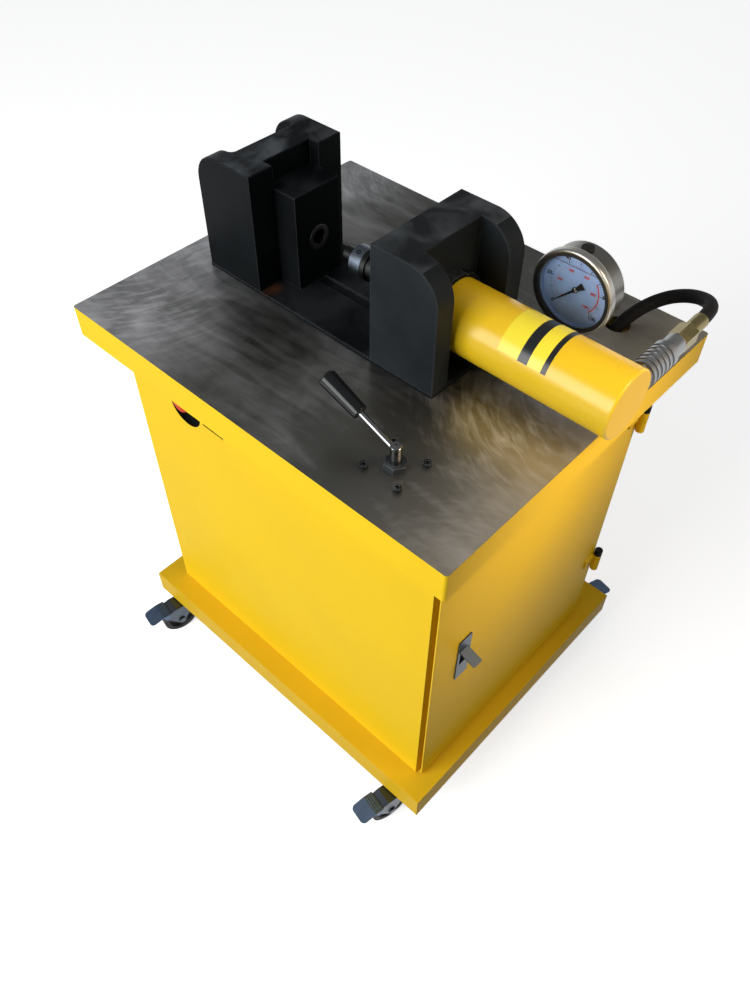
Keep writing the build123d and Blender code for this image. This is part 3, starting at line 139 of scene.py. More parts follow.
class Sheet:
    """The node tree of one finish."""

    def __init__(self, tree):
        self.tree = tree
        tree.nodes.clear()

    def node(self, kind, settings=None, sockets=None, output=0):
        """Adds a node: its settings first, then the values or links of its sockets."""
        made = self.tree.nodes.new(kind)
        for key, value in (settings or {}).items():
            if key == "stops":
                self.fill_ramp(made.color_ramp, value)
            else:
                setattr(made, key, value)
        for key, value in (sockets or {}).items():
            if isinstance(value, Signal):
                self.tree.links.new(value.socket, made.inputs[key])
            else:
                made.inputs[key].default_value = value
        return Signal(self, made.outputs[output]) if made.outputs else None

    @staticmethod
    def fill_ramp(ramp, stops):
        ramp.elements[0].position = stops[0][0]
        ramp.elements[1].position = stops[-1][0]
        for place, _ in stops[1:-1]:
            ramp.elements.new(place)
        for element, (_, grey) in zip(sorted(ramp.elements, key=lambda e: e.position), stops):
            element.color = (grey, grey, grey, 1)

    def math(self, operation, first, second=0.0):
        return self.node("ShaderNodeMath", {"operation": operation}, {0: first, 1: second})

    def clamp(self, value):
        settings = {"operation": "ADD", "use_clamp": True}
        return self.node("ShaderNodeMath", settings, {0: value, 1: 0.0})

    def ramp(self, value, *stops):
        return self.node("ShaderNodeValToRGB", {"stops": stops}, {"Fac": value})

    def blend(self, factor, first, second):
        """Mixes two colours."""
        settings = {"data_type": "RGBA", "clamp_factor": True}
        return self.node("ShaderNodeMix", settings, {0: factor, 6: first, 7: second}, output=2)

    def either(self, factor, first, second):
        """Mixes two shaders."""
        return self.node("ShaderNodeMixShader", None, {0: factor, 1: first, 2: second})

    def place(self):
        return self.node("ShaderNodeTexCoord", output="Object")

    def vector(self, x=0.0, y=0.0, z=0.0):
        return self.node("ShaderNodeCombineXYZ", None, {"X": x, "Y": y, "Z": z})

    def parts(self, vector):
        split = self.node("ShaderNodeSeparateXYZ", None, {"Vector": vector})
        outputs = split.socket.node.outputs
        return [Signal(self, outputs[axis]) for axis in "XYZ"]

    def moved(self, vector, location=(0, 0, 0), scale=(1, 1, 1)):
        sockets = {"Vector": vector, "Location": location, "Scale": scale}
        return self.node("ShaderNodeMapping", None, sockets)

    def noise(self, vector, scale, detail=2.0, distortion=0.0):
        sockets = {"Vector": vector, "Scale": scale, "Detail": detail, "Distortion": distortion}
        return self.node("ShaderNodeTexNoise", None, sockets)

    def vector_math(self, operation, first, second, output=0):
        sockets = {0: first, 1: second}
        return self.node("ShaderNodeVectorMath", {"operation": operation}, sockets, output)

    def distance(self, first, second):
        return self.vector_math("DISTANCE", first, second, "Value")

    def facing(self, kind="True Normal"):
        """X, Y and Z of the surface's normal."""
        return self.parts(self.node("ShaderNodeNewGeometry", output=kind))

    def rounded(self, radius):
        """Normal of the surface with its edges rounded."""
        return self.node("ShaderNodeBevel", {"samples": 4}, {"Radius": radius})

    def edges(self, rounded_normal):
        """0 on flats, rising at edges."""
        flat = self.node("ShaderNodeNewGeometry", output="Normal")
        return 1 - self.vector_math("DOT_PRODUCT", rounded_normal, flat, "Value")

    def bump(self, height, strength, distance, normal=None):
        sockets = {"Height": height, "Strength": strength, "Distance": distance}
        if normal is not None:
            sockets["Normal"] = normal
        return self.node("ShaderNodeBump", None, sockets)

    def principled(self, **sockets):
        named = {key.replace("_", " "): value for key, value in sockets.items()}
        return self.node("ShaderNodeBsdfPrincipled", None, named)

    def close(self, surface):
        self.node("ShaderNodeOutputMaterial", None, {"Surface": surface})


def rgb(colour, shade=1.0):
    """A colour as a socket takes it, made lighter or darker."""
    return (*(min(1.0, channel * shade) for channel in colour[:3]), 1.0)


def shaded(tint, shade):
    """A tint made lighter or darker."""
    return [shade * channel for channel in tint]


class Pattern(Sheet):
    """A Geometry Nodes tree with named sizes, which ends in a plain mesh of one material."""

    def __init__(self, name, **sizes):
        tree = bpy.data.node_groups.new(name, "GeometryNodeTree")
        super().__init__(tree)
        tree.interface.new_socket("Geometry", in_out="INPUT", socket_type="NodeSocketGeometry")
        tree.interface.new_socket("Geometry", in_out="OUTPUT", socket_type="NodeSocketGeometry")
        tree.interface.new_socket("Material", in_out="INPUT", socket_type="NodeSocketMaterial")
        for label, size in sizes.items():
            kind = "NodeSocketInt" if isinstance(size, int) else "NodeSocketFloat"
            socket = tree.interface.new_socket(label, in_out="INPUT", socket_type=kind)
            socket.default_value = size
        self.entry = tree.nodes.new("NodeGroupInput")

    def given(self, label):
        return Signal(self, self.entry.outputs[label])

    def lifted(self, mesh, height):
        sockets = {"Geometry": mesh, "Translation": self.vector(z=height)}
        return self.node("GeometryNodeTransform", None, sockets)

    def joined(self, *meshes):
        join = self.tree.nodes.new("GeometryNodeJoinGeometry")
        for mesh in meshes:
            self.tree.links.new(mesh.socket, join.inputs["Geometry"])
        return Signal(self, join.outputs["Geometry"])

    def finish(self, geometry):
        realized = self.node("GeometryNodeRealizeInstances", None, {"Geometry": geometry})
        sockets = {"Geometry": realized, "Material": self.given("Material")}
        dressed = self.node("GeometryNodeSetMaterial", None, sockets)
        self.node("NodeGroupOutput", None, {"Geometry": dressed})


def linked(name, data):
    """A new object of that data, in the scene."""
    piece = bpy.data.objects.new(name, data)
    bpy.context.scene.collection.objects.link(piece)
    return piece


def grown(name, pattern, material, mesh=None, **sizes):
    """Runs a pattern on a mesh and keeps the result as a plain mesh."""
    piece = linked(name, mesh or bpy.data.meshes.new(name))
    modifier = piece.modifiers.new("pattern", "NODES")
    modifier.node_group = pattern.tree
    values = {"Material": material, **sizes}
    for socket in pattern.tree.interface.items_tree:
        if socket.in_out == "INPUT" and socket.name in values:
            modifier[socket.identifier] = values[socket.name]
    depsgraph = bpy.context.evaluated_depsgraph_get()
    result = bpy.data.meshes.new_from_object(piece.evaluated_get(depsgraph), depsgraph=depsgraph)
    piece.modifiers.clear()
    piece.data = result
    result.name = name
    return piece


def meshed(name, shape, material):
    """A piece made from a bmesh."""
    bmesh.ops.recalc_face_normals(shape, faces=shape.faces)
    mesh = bpy.data.meshes.new(name)
    shape.to_mesh(mesh)
    shape.free()
    mesh.materials.append(material)
    return linked(name, mesh)


def fitted(piece, body):
    """The piece moves with that body."""
    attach(piece, body)
    return piece


def colour(name, description, default):
    return FloatVectorProperty(
        name=name, description=description, default=default, subtype="COLOR", min=0.0, max=1.0
    )


def amount(unit, name, description, default):
    return FloatProperty(name=name, description=description, default=default, unit=unit, min=0.0)


length = partial(amount, "LENGTH")
power = partial(amount, "POWER")


class BusbarColours(bpy.types.PropertyGroup):
    """Colours of the finishes, in linear light."""

    yellow: colour("Yellow", "Powder paint of cabinet, apron and cylinder", (0.95, 0.625, 0.016))
    # Painted shade: a darker copy of the cabinet's yellow, for the base tray
    tray: colour("Tray yellow", "Paint of the base tray", (0.798, 0.50, 0.016))
    lemon: colour("Lemon", "Ground of the cylinder's band", (0.86, 0.74, 0.045))
    steel: colour("Table steel", "Bare steel of the table", (0.165, 0.165, 0.152))
    ground: colour("Ground steel", "Bright streaks and clouds on the table", (0.70, 0.70, 0.73))
    # Painted reflection: the brownish tint of the yellow cylinder mirrored in the table's right
    # end
    browned: colour("Browned steel", "Oily film over the table's right end", (0.52, 0.46, 0.36))
    oxide: colour("Black oxide", "Blackened steel of the press", (0.0062, 0.0076, 0.0086))
    scuff: colour("Scuffed oxide", "Worn patches on top of the press", (0.150, 0.165, 0.180))
    rust: colour("Rust", "Rust on the press bed", (0.115, 0.040, 0.016))
    tool: colour("Tool steel", "Punch and die bush", (0.045, 0.046, 0.046))
    zinc: colour("Zinc", "Bright zinc plating", (0.15, 0.18, 0.22))
    pedal: colour("Pedal zinc", "Plating of the brake pedals", (0.105, 0.153, 0.242))
    chrome: colour("Chrome", "Chromium plating", (0.62, 0.63, 0.64))
    olive: colour("Yellow zinc", "Yellow plating of the hose ends", (0.34, 0.285, 0.13))
    rubber: colour("Rubber", "Hose, plug and treads", (0.011, 0.011, 0.012))
    stainless: colour("Stainless", "Gauge case and bezel", (0.52, 0.51, 0.47))
    brass: colour("Brass", "Gauge stem", (0.60, 0.42, 0.15))
    # Painted shade: the dial's bluish white is darkened to the shade inside the gauge
    dial: colour("Dial", "Printed face of the gauge", (0.32, 0.48, 0.92))
    ink: colour("Ink", "Ticks and numbers of the dial", (0.010, 0.012, 0.014))
    red: colour("Red", "Stop button and the dial's limit band", (0.60, 0.040, 0.014))
    green: colour("Green", "Start button", (0.012, 0.22, 0.045))
    plastic: colour("Black plastic", "Lever grip and switch box", (0.013, 0.015, 0.017))
    tank: colour("Tank grey", "Paint of the oil tank", (0.23, 0.25, 0.26))
    motor: colour("Motor grey", "Paint of the pump motor", (0.12, 0.15, 0.18))
    casting: colour("Casting", "Pump and manifold", (0.26, 0.26, 0.25))


class BusbarSizes(bpy.types.PropertyGroup):
    """Sizes of the pieces that dress the solids."""

    hose_diameter: length("Hose diameter", "Outside diameter of the hose", 0.0175)
    hose_length: length("Hose length", "Length of the hose between its fittings", 0.2619)
    sheet_thickness: length("Sheet thickness", "Thickness of the printed band", 0.0002)
    band_start: length("Band start", "From the cylinder's web to the printed band", 0.1015)
    band_length: length("Band length", "Length of the printed band", 0.065)
    number_height: length("Number height", "Height of the dial's numbers", 0.0070)
    screw_width: length("Screw width", "Diameter of the two socket screws", 0.006)


class BusbarStage(bpy.types.PropertyGroup):
    """Light of the studio."""

    key: power("Key", "Power of the front softbox", 62.0)
    side: power("Side", "Power of the right softbox", 0.72)
    room: amount("NONE", "Room", "Even light of the room", 0.25)


def painted(sheet, tint, rough=0.42, gloss=0.06, peel=0.06, bevel=0.0012):
    """Powder paint: faint clouds, orange peel, and a painted highlight that makes it paler along
    its rounded edges.
    """
    place = sheet.place()
    cloud = sheet.noise(place, 5.0, 3.0)
    tone = sheet.blend(cloud, rgb(tint, 0.92), rgb(tint, 1.05))
    rounded = None
    if bevel:
        rounded = sheet.rounded(bevel)
        edge = sheet.clamp(sheet.edges(rounded) * 4)
        # Painted highlight: a paler tint along the rounded edges
        tone = sheet.blend(edge * 0.3, tone, rgb([0.25 + 0.75 * channel for channel in tint]))
    normal = sheet.bump(sheet.noise(place, 650.0, 1.0), peel, 0.0004, rounded)
    return sheet.principled(
        Base_Color=tone, Roughness=rough + 0.12 * cloud, Specular_IOR_Level=gloss, Normal=normal
    )


def plated(sheet, tint, rough, grain=140.0, spread=0.12, bevel=0.0005):
    """Plated metal with faint spangle and handling marks."""
    place = sheet.place()
    spangle = sheet.noise(place, grain, 3.0)
    smear = sheet.noise(sheet.moved(place, scale=(30, 9, 14)), 3.0, 4.0, 0.6)
    tone = sheet.blend(smear, rgb(tint, 0.78), rgb(tint, 1.12))
    normal = sheet.bump(spangle, 0.04, 0.0003, sheet.rounded(bevel) if bevel else None)
    blur = rough + 2 * spread * smear * spangle
    return sheet.principled(Base_Color=tone, Metallic=1.0, Roughness=blur, Normal=normal)


def moulded(sheet, tint, rough, gloss=0.4, grain=900.0, skin=0.08, bevel=0.0006):
    """Moulded plastic or rubber with a fine skin."""
    place = sheet.place()
    grains = sheet.noise(place, grain, 2.0)
    rub = sheet.noise(place, 60.0, 3.0)
    tone = sheet.blend(rub, rgb(tint, 0.8), rgb(tint, 1.35))
    normal = sheet.bump(grains, skin, 0.0002, sheet.rounded(bevel) if bevel else None)
    return sheet.principled(
        Base_Color=tone, Roughness=rough + 0.15 * rub, Specular_IOR_Level=gloss, Normal=normal
    )


def panel_paint(sheet, colours):
    """Painted sheet, with painted shade, near black, on the walls of the button hole and the slot.
    """
    paint = painted(sheet, colours.yellow)
    panel_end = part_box("front_panel")[0].x
    left, right = panel_end + 0.08, panel_end + 0.20
    bottom, top = 0.572, 0.642
    x, _, z = sheet.parts(sheet.place())
    inward = sheet.facing()[1] > -0.5
    # Painted shade: the walls of the button hole and the slot are near black
    slot_shade = inward & (x > left) & (x < right) & (z > bottom) & (z < top)
    edge = sheet.principled(Base_Color=(0.012, 0.006, 0.002, 1), Roughness=0.6)
    return sheet.either(slot_shade, paint, edge)


def cylinder_paint(sheet, colours):
    """Paint that shines along the barrel and is duller on its end."""
    tint = shaded(colours.yellow, 0.84)
    barrel = painted(sheet, tint, rough=0.22, gloss=0.42, peel=0.03)
    end = painted(sheet, tint, rough=0.34, gloss=0.12, peel=0.03)
    on_end = sheet.facing()[0] > 0.9
    return sheet.either(on_end, barrel, end)


# Where the table was sanded: spot, centre of the arcs, reach and strength
sanding_marks = (
    ((-0.315, -0.075), (-0.52, -0.06), 0.10, 1.0),
    ((-0.265, -0.200), (-0.45, -0.10), 0.15, 1.0),
    ((-0.275, 0.225), (-0.16, 0.36), 0.11, 1.0),
    ((0.225, -0.050), (0.33, 0.10), 0.15, 1.1),
    ((0.270, -0.200), (0.36, -0.33), 0.16, 0.4),
)


def sanded(sheet, place, spot, pivot, reach):
    """Arcs that a sanding disc left round a pivot, fading out away from a spot."""
    table_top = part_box("table_plate")[1].z
    fine, coarse = 110, 5
    x, y, _ = sheet.parts(sheet.moved(place, location=(-pivot[0], -pivot[1], 0)))
    bowed = sheet.vector((x * x + y * y) ** 0.5 * fine, sheet.math("ARCTAN2", y, x) * coarse)
    arcs = sheet.noise(bowed, 1.0, 5.0, 0.8)
    away = sheet.distance(place, (*spot, table_top))
    return sheet.ramp(arcs, (0.42, 0.0), (0.66, 1.0)) * sheet.clamp(1 - away / reach)


def ground_steel(sheet, colours):
    """Ground plate with soft streaks and sanded arcs; painted reflection makes it paler at the
    left and brownish at the right, and painted shade darkens the back and draws a dark line along
    its edges.
    """
    oil_reach, left_reach, right_reach = 0.12, 0.24, 0.17
    place = sheet.place()
    x, y, _ = sheet.parts(place)
    low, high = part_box("table_plate")
    drift = sheet.vector(y=sheet.noise(place, 3.0, 2.0) * 0.12)
    bent = sheet.vector_math("ADD", place, drift)
    grain = sheet.noise(sheet.moved(bent, scale=(4, 26, 4)), 2.0, 5.0, 0.6)
    streak = sheet.ramp(grain, (0.40, 0.0), (0.72, 1.0))
    scratch = sheet.noise(sheet.moved(bent, scale=(9, 900, 9)), 2.0, 3.0)
    patches = sheet.noise(sheet.moved(place, scale=(1, 1.7, 1)), 6.0, 6.0, 1.4)
    cloud = sheet.ramp(patches, (0.36, 0.0), (0.72, 1.0))
    mottle = sheet.noise(place, 30.0, 7.0, 0.8) - 0.5
    oil = sheet.clamp(1.2 - sheet.distance(place, middle("valve_nut")) / oil_reach)
    # Painted reflection: the plate is paler and cloudier towards its left end
    left_sheen = sheet.clamp((low.x + left_reach - x) * 5)
    # Painted reflection of the yellow cylinder: brownish towards the right end
    right_reflection = sheet.clamp((x - high.x + right_reach) * 7) * (1 - 0.7 * oil)
    # Painted shade: the plate is darker towards the back
    back_shade = sheet.clamp(y * 6)
    marks = 0.0
    for spot, pivot, reach, strength in sanding_marks:
        marks = sanded(sheet, place, spot, pivot, reach) * strength | marks
    cloudiness = 0.08 + 0.45 * left_sheen + 0.22 * right_reflection
    light = 0.22 * streak + 0.46 * marks + cloud * cloudiness + 0.38 * left_sheen
    light = sheet.clamp(light + 0.35 * mottle - 0.25 * oil - 0.14 * back_shade)
    tone = sheet.blend(light, rgb(colours.steel), rgb(colours.ground))
    # Painted reflection: blends the right end towards the cylinder's brownish tint
    tone = sheet.blend(right_reflection * (0.6 - 0.4 * light), tone, rgb(colours.browned))
    # Painted shade: a dark line along the plate's edges and the rims of its holes
    rim = sheet.clamp(sheet.edges(sheet.rounded(0.0008)) * 6)
    tone = sheet.blend(rim, tone, rgb(colours.steel, 0.3))
    normal = sheet.bump(scratch, 0.05, 0.0003)
    return sheet.principled(
        Base_Color=tone, Metallic=0.92 - 0.3 * light - 0.14 * right_reflection,
        Roughness=0.22 + 0.1 * scratch + 0.16 * light + 0.12 * (right_reflection | oil), Normal=normal,
    )


def table_steel(sheet, colours):
    """Steel on top and in the holes, painted down the outer sides like the apron under it."""
    low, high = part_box("table_plate")
    wall = 0.0015
    x, y, _ = sheet.parts(sheet.place())
    within = (x > low.x + wall) & (x < high.x - wall) & (y > low.y + wall) & (y < high.y - wall)
    bare = (sheet.facing()[2] > 0.5) | within
    paint = painted(sheet, colours.yellow, bevel=0.0)
    return sheet.either(bare, paint, ground_steel(sheet, colours))


def oxide_coat(sheet, colours, worn, shade=1.0):
    """Blackened steel: tone, clouds and normal, scuffed on top, and bright along edges, partly
    from edge wear and partly as a painted highlight.
    """
    place = sheet.place()
    cloud = sheet.noise(place, 16.0, 5.0, 0.5)
    rounded = sheet.rounded(0.0011)
    edge = sheet.clamp(sheet.edges(rounded) * 5)
    upward = sheet.facing("Normal")[2] > 0.9
    tone = sheet.blend(cloud, rgb(colours.oxide, 0.5 * shade), rgb(colours.oxide, 1.6 * shade))
    scuff = sheet.ramp(cloud, (0.44, 0.0), (0.66, 1.0))
    tone = sheet.blend(upward * scuff * worn, tone, rgb(colours.scuff))
    # Paler edges: partly edge wear, partly a painted highlight
    tone = sheet.blend(edge * (0.25 + 0.5 * cloud), tone, rgb(colours.scuff, 1.26))
    return tone, cloud, sheet.bump(sheet.noise(place, 420.0, 2.0), 0.05, 0.0003, rounded)


def black_oxide(sheet, colours, shade=1.0, gloss=0.03, worn=0.7):
    tone, cloud, normal = oxide_coat(sheet, colours, worn, shade)
    return sheet.principled(
        Base_Color=tone, Roughness=0.34 + 0.18 * cloud, Specular_IOR_Level=gloss, Normal=normal
    )


def rusted_bed(sheet, colours):
    """The press bed: blackened steel with a rusty patch at the foot of the front die cheek."""
    tone, cloud, normal = oxide_coat(sheet, colours, worn=0.1)
    low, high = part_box("die_upright")
    spot = Vector((high.x + 0.006, low.y + 0.016, 0.718))
    reach = 0.019
    patch = sheet.clamp((reach - sheet.distance(sheet.place(), spot)) * 70 * cloud)
    tone = sheet.blend(patch, tone, rgb(colours.rust))
    return sheet.principled(
        Base_Color=tone, Roughness=0.34 + 0.2 * cloud + 0.3 * patch, Specular_IOR_Level=0.04,
        Normal=normal,
    )


def stainless(sheet, colours, seal=0.0):
    """Stainless steel brushed round the gauge's axis, with a black seal inside that radius."""
    x, y, z = sheet.parts(sheet.moved(sheet.place(), location=-middle("gauge_case")))
    reach = (x * x + z * z) ** 0.5
    lines = sheet.noise(sheet.vector(y, reach), 1400.0, 2.0)
    if not seal:
        tone = sheet.blend(lines, rgb(colours.stainless, 0.42), rgb(colours.stainless, 0.55))
        return sheet.principled(Base_Color=tone, Metallic=1.0, Roughness=0.26 + 0.1 * lines)
    tone = sheet.blend(lines, rgb(colours.stainless, 0.85), rgb(colours.stainless, 1.1))
    rubber = reach < seal
    return sheet.principled(
        Base_Color=sheet.blend(rubber, tone, rgb(colours.rubber)), Metallic=1 - rubber,
        Roughness=0.28 + 0.1 * lines + 0.2 * rubber,
    )


def gauge_glass(sheet, colours):
    """Flat window: clear face on, mirror-like at a glance."""
    glance = sheet.node("ShaderNodeLayerWeight", None, {"Blend": 0.5}, output="Facing")
    smudge = sheet.noise(sheet.place(), 60.0, 3.0)
    return sheet.principled(
        Base_Color=(1, 1, 1, 1), Metallic=1.0, Alpha=0.04 + 0.9 * glance ** 5,
        Roughness=0.02 + 0.03 * smudge,
    )


def band_print(sheet, colours):
    """Printed band: lemon with two black stripes round the cylinder."""
    stripe_start, stripe_end, last_stripe = 0.0832, 0.0962, 0.1140
    x = sheet.parts(sheet.place())[0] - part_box("cylinder_upright")[1].x
    stripes = ((x > stripe_start) & (x < stripe_end)) | (x > last_stripe)
    tone = sheet.blend(stripes, rgb(colours.lemon), rgb(colours.ink))
    worn = sheet.noise(sheet.place(), 40.0, 3.0)
    return sheet.principled(Base_Color=tone, Roughness=0.24 + 0.12 * worn, Specular_IOR_Level=0.4)


def coat(kind, tint, shade=1.0, **settings):
    """A finish of one coat, in a shade of that colour."""
    return lambda sheet, colours: kind(sheet, shaded(getattr(colours, tint), shade), **settings)


own_makers = (
    panel_paint, cylinder_paint, band_print, table_steel, black_oxide, rusted_bed, stainless,
    gauge_glass,
)
finishes = {
    **{maker.__name__: maker for maker in own_makers},
    "yellow_paint": coat(painted, "yellow"),
    "apron_paint": coat(painted, "yellow", bevel=0.0),
    # Painted shade: the base tray takes a darker copy of the yellow paint
    "tray_paint": coat(painted, "tray", bevel=0.002),
    "tank_grey": coat(painted, "tank", rough=0.30, gloss=0.45, peel=0.5),
    "motor_grey": coat(painted, "motor", rough=0.42, peel=0.2),
    # Painted shade: a darker copy of the black oxide for the die block, with few scuffs on top
    "block_oxide": partial(black_oxide, shade=0.8, worn=0.12),
    "saddle_oxide": partial(black_oxide, shade=2.6, gloss=0.06, worn=0.45),
    "valve_oxide": partial(black_oxide, shade=3.5, gloss=0.25),
    "screw_oxide": partial(black_oxide, shade=1.4, gloss=0.2),
    "tool_steel": coat(plated, "tool", 0.8, rough=0.34, grain=300.0),
    "bush_steel": coat(plated, "tool", 2.6, rough=0.3, grain=300.0),
    "zinc": coat(plated, "zinc", rough=0.34),
    "collar_zinc": coat(plated, "zinc", 0.95, rough=0.34, bevel=0.0),
    "fork_zinc": coat(plated, "zinc", 0.6, rough=0.30),
    # Painted shade: a darker copy of zinc for the latch, standing in for the dark room it mirrors
    "latch_zinc": coat(plated, "zinc", 0.55, rough=0.36),
    "pedal_zinc": coat(plated, "pedal", rough=0.40),
    "chrome": coat(plated, "chrome", rough=0.10, spread=0.08, bevel=0.0),
    # Painted shade: a darker copy of chrome for the lever, so it mirrors less of the white room
    "lever_chrome": coat(plated, "chrome", 0.45, rough=0.12, spread=0.08, bevel=0.0),
    "coupler_zinc": coat(plated, "chrome", 0.6, rough=0.24, bevel=0.0),
    "yellow_zinc": coat(plated, "olive", rough=0.24, grain=90.0),
    "brass": coat(plated, "brass", rough=0.25),
    "cast_grey": coat(plated, "casting", rough=0.42, grain=500.0),
    "bezel_steel": partial(stainless, seal=0.0517),
    # Painted shade: the dial takes a darker colour than a white dial
    "dial_white": coat(moulded, "dial", rough=0.45, gloss=0.2),
    "pointer_black": coat(moulded, "ink", rough=0.35),
    "ink": coat(moulded, "ink", rough=0.5, gloss=0.2),
    "red_ink": coat(moulded, "red", rough=0.5, gloss=0.2),
    "hose_rubber": coat(moulded, "rubber", rough=0.52, gloss=0.08, grain=1600.0),
    "plug_rubber": coat(moulded, "rubber", rough=0.55, gloss=0.25),
    "caster_tread": coat(moulded, "rubber", 3.0, rough=0.5, gloss=0.3),
    "grip_plastic": coat(moulded, "plastic", 0.6, rough=0.09, gloss=0.28, skin=0.005, bevel=0.0),
    "switch_plastic": coat(moulded, "plastic", rough=0.42),
    "stop_red": coat(moulded, "red", rough=0.34, gloss=0.03),
    "start_green": coat(moulded, "green", rough=0.28, gloss=0.5),
}
# Nodes, by how their names start, whose finish is not that of their material slot
own_finishes = {
    "base_tray": "tray_paint", "table_apron": "apron_paint", "front_panel": "panel_paint",
    "cylinder_barrel": "cylinder_paint", "press_bed": "rusted_bed", "die_block": "block_oxide",
    "cylinder_upright": "saddle_oxide", "valve_nut": "valve_oxide", "valve_screws": "screw_oxide",
    "die_bush": "bush_steel", "ram_collar": "collar_zinc", "gauge_bezel": "bezel_steel",
    "latch_plate": "latch_zinc", "latch_flap": "latch_zinc", "valve_lever": "lever_chrome",
    "coupler": "coupler_zinc", "caster_fork": "fork_zinc", "caster_pedal": "pedal_zinc",
}


def finish(name):
    """A finish as a material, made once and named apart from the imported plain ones."""
    label = f"{name}_finish"
    made = bpy.data.materials.get(label)
    if made is None:
        made = bpy.data.materials.new(label)
        made.use_nodes = True
        sheet = Sheet(made.node_tree)
        sheet.close(finishes[name](sheet, bpy.context.scene.busbar_colours))
    return made


class BUSBAR_OT_finishes(bpy.types.Operator):
    """Gives every solid its own finish, or else that of its material slot"""

    bl_idname = "busbar.finishes"
    bl_label = "Finish the solids"

    def execute(self, context):
        for name, solid in nodes.items():
            own = [look for start, look in own_finishes.items() if name.startswith(start)]
            material = finish(own[0] if own else slot_of[name])
            solid.data.materials.clear()
            solid.data.materials.append(material)
        return {"FINISHED"}


class BUSBAR_OT_polish(bpy.types.Operator):
    """Stands smooth copies in for turned solids, whose facets would show"""

    bl_idname = "busbar.polish"
    bl_label = "Smooth the turned pieces"

    turned_nodes = (
        "valve_lever", "lever_grip", "gauge_case", "gauge_bezel", "coupler_body", "coupler_sleeve",
        "ram_collar",
    )
    crease = math.radians(32)
    flat = math.radians(0.6)
    nearly_flat = math.radians(6)

    def execute(self, context):
        for name in self.turned_nodes:
            solid = nodes[name]
            shape = bmesh.new()
            shape.from_mesh(solid.data)
            bmesh.ops.remove_doubles(shape, verts=shape.verts, dist=weld)
            bmesh.ops.dissolve_limit(
                shape, angle_limit=self.flat, use_dissolve_boundaries=False,
                verts=shape.verts, edges=shape.edges,
            )
            bmesh.ops.join_triangles(
                shape, faces=shape.faces, angle_face_threshold=self.nearly_flat,
                angle_shape_threshold=math.pi,
            )
            for face in shape.faces:
                face.smooth = True
            piece = meshed(f"smooth_{name}", shape, solid.data.materials[0])
            piece.data.set_sharp_from_angle(angle=self.crease)
            shading = piece.modifiers.new("shading", "WEIGHTED_NORMAL")
            shading.keep_sharp = True
            shading.weight = 100
            fitted(piece, body_of(solid)[0])
            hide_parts(name)
        return {"FINISHED"}


hose_route = (
    (0.3155, 0.1900, 0.7807), (0.3155, 0.2110, 0.7807), (0.3075, 0.2305, 0.7775),
    (0.2905, 0.2450, 0.7695), (0.2695, 0.2530, 0.7590), (0.2495, 0.2510, 0.7485),
    (0.2355, 0.2390, 0.7405), (0.2265, 0.2240, 0.7340), (0.2195, 0.2110, 0.7255),
    (0.2135, 0.2015, 0.7140), (0.2085, 0.1930, 0.7000), (0.2050, 0.1875, 0.6820),
    (0.2030, 0.1845, 0.6620), (0.2030, 0.1845, 0.6400),
)


class BUSBAR_OT_hose(bpy.types.Operator):
    """Bends the hose from the coupler down through the table"""

    bl_idname = "busbar.hose"
    bl_label = "Hose"

    def execute(self, context):
        sizes = context.scene.busbar_sizes
        curve = bpy.data.curves.new("hydraulic_hose", "CURVE")
        curve.dimensions = "3D"
        curve.bevel_depth = sizes.hose_diameter / 2
        curve.bevel_resolution = 6
        curve.resolution_u = 8
        curve.use_fill_caps = True
        spline = curve.splines.new("NURBS")
        spline.points.add(len(hose_route) - 1)
        for point, place in zip(spline.points, hose_route):
            point.co = (*place, 1.0)
        spline.order_u = 3
        spline.use_endpoint_u = True
        curve.materials.append(finish("hose_rubber"))
        hose = fitted(linked("hydraulic_hose", curve), "machine")
        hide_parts("hose")
        return {"FINISHED"}


class BUSBAR_OT_band(bpy.types.Operator):
    """Wraps the printed band over the cylinder"""

    bl_idname = "busbar.band"
    bl_label = "Cylinder band"

    # From the upright's end face back to its web
    web_inset = 0.046
    columns = 12
    rows = 40
    from_angle = math.radians(23)
    to_angle = math.radians(157)

    def execute(self, context):
        sizes = context.scene.busbar_sizes
        low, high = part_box("cylinder_barrel")
        axis = middle("cylinder_barrel")
        radius = (high.y - low.y) / 2 + sizes.sheet_thickness / 2
        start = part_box("cylinder_upright")[1].x - self.web_inset + sizes.band_start
        columns = range(self.columns + 1)
        xs = [start + sizes.band_length * column / self.columns for column in columns]
        shape = bmesh.new()
        grid = []
        for row in range(self.rows + 1):
            angle = self.from_angle + (self.to_angle - self.from_angle) * row / self.rows
            y = axis.y - radius * math.cos(angle)
            z = axis.z + radius * math.sin(angle)
            grid.append([shape.verts.new((x, y, z)) for x in xs])
        for below, above in zip(grid, grid[1:]):
            for i in range(self.columns):
                shape.faces.new((below[i], below[i + 1], above[i + 1], above[i]))
        band = meshed("cylinder_band", shape, finish("band_print"))
        wall = band.modifiers.new("thickness", "SOLIDIFY")
        wall.thickness = sizes.sheet_thickness
        wall.offset = 0.0
        fitted(band, "machine")
        return {"FINISHED"}


# Thickness of the dial's print
print_depth = 0.0002


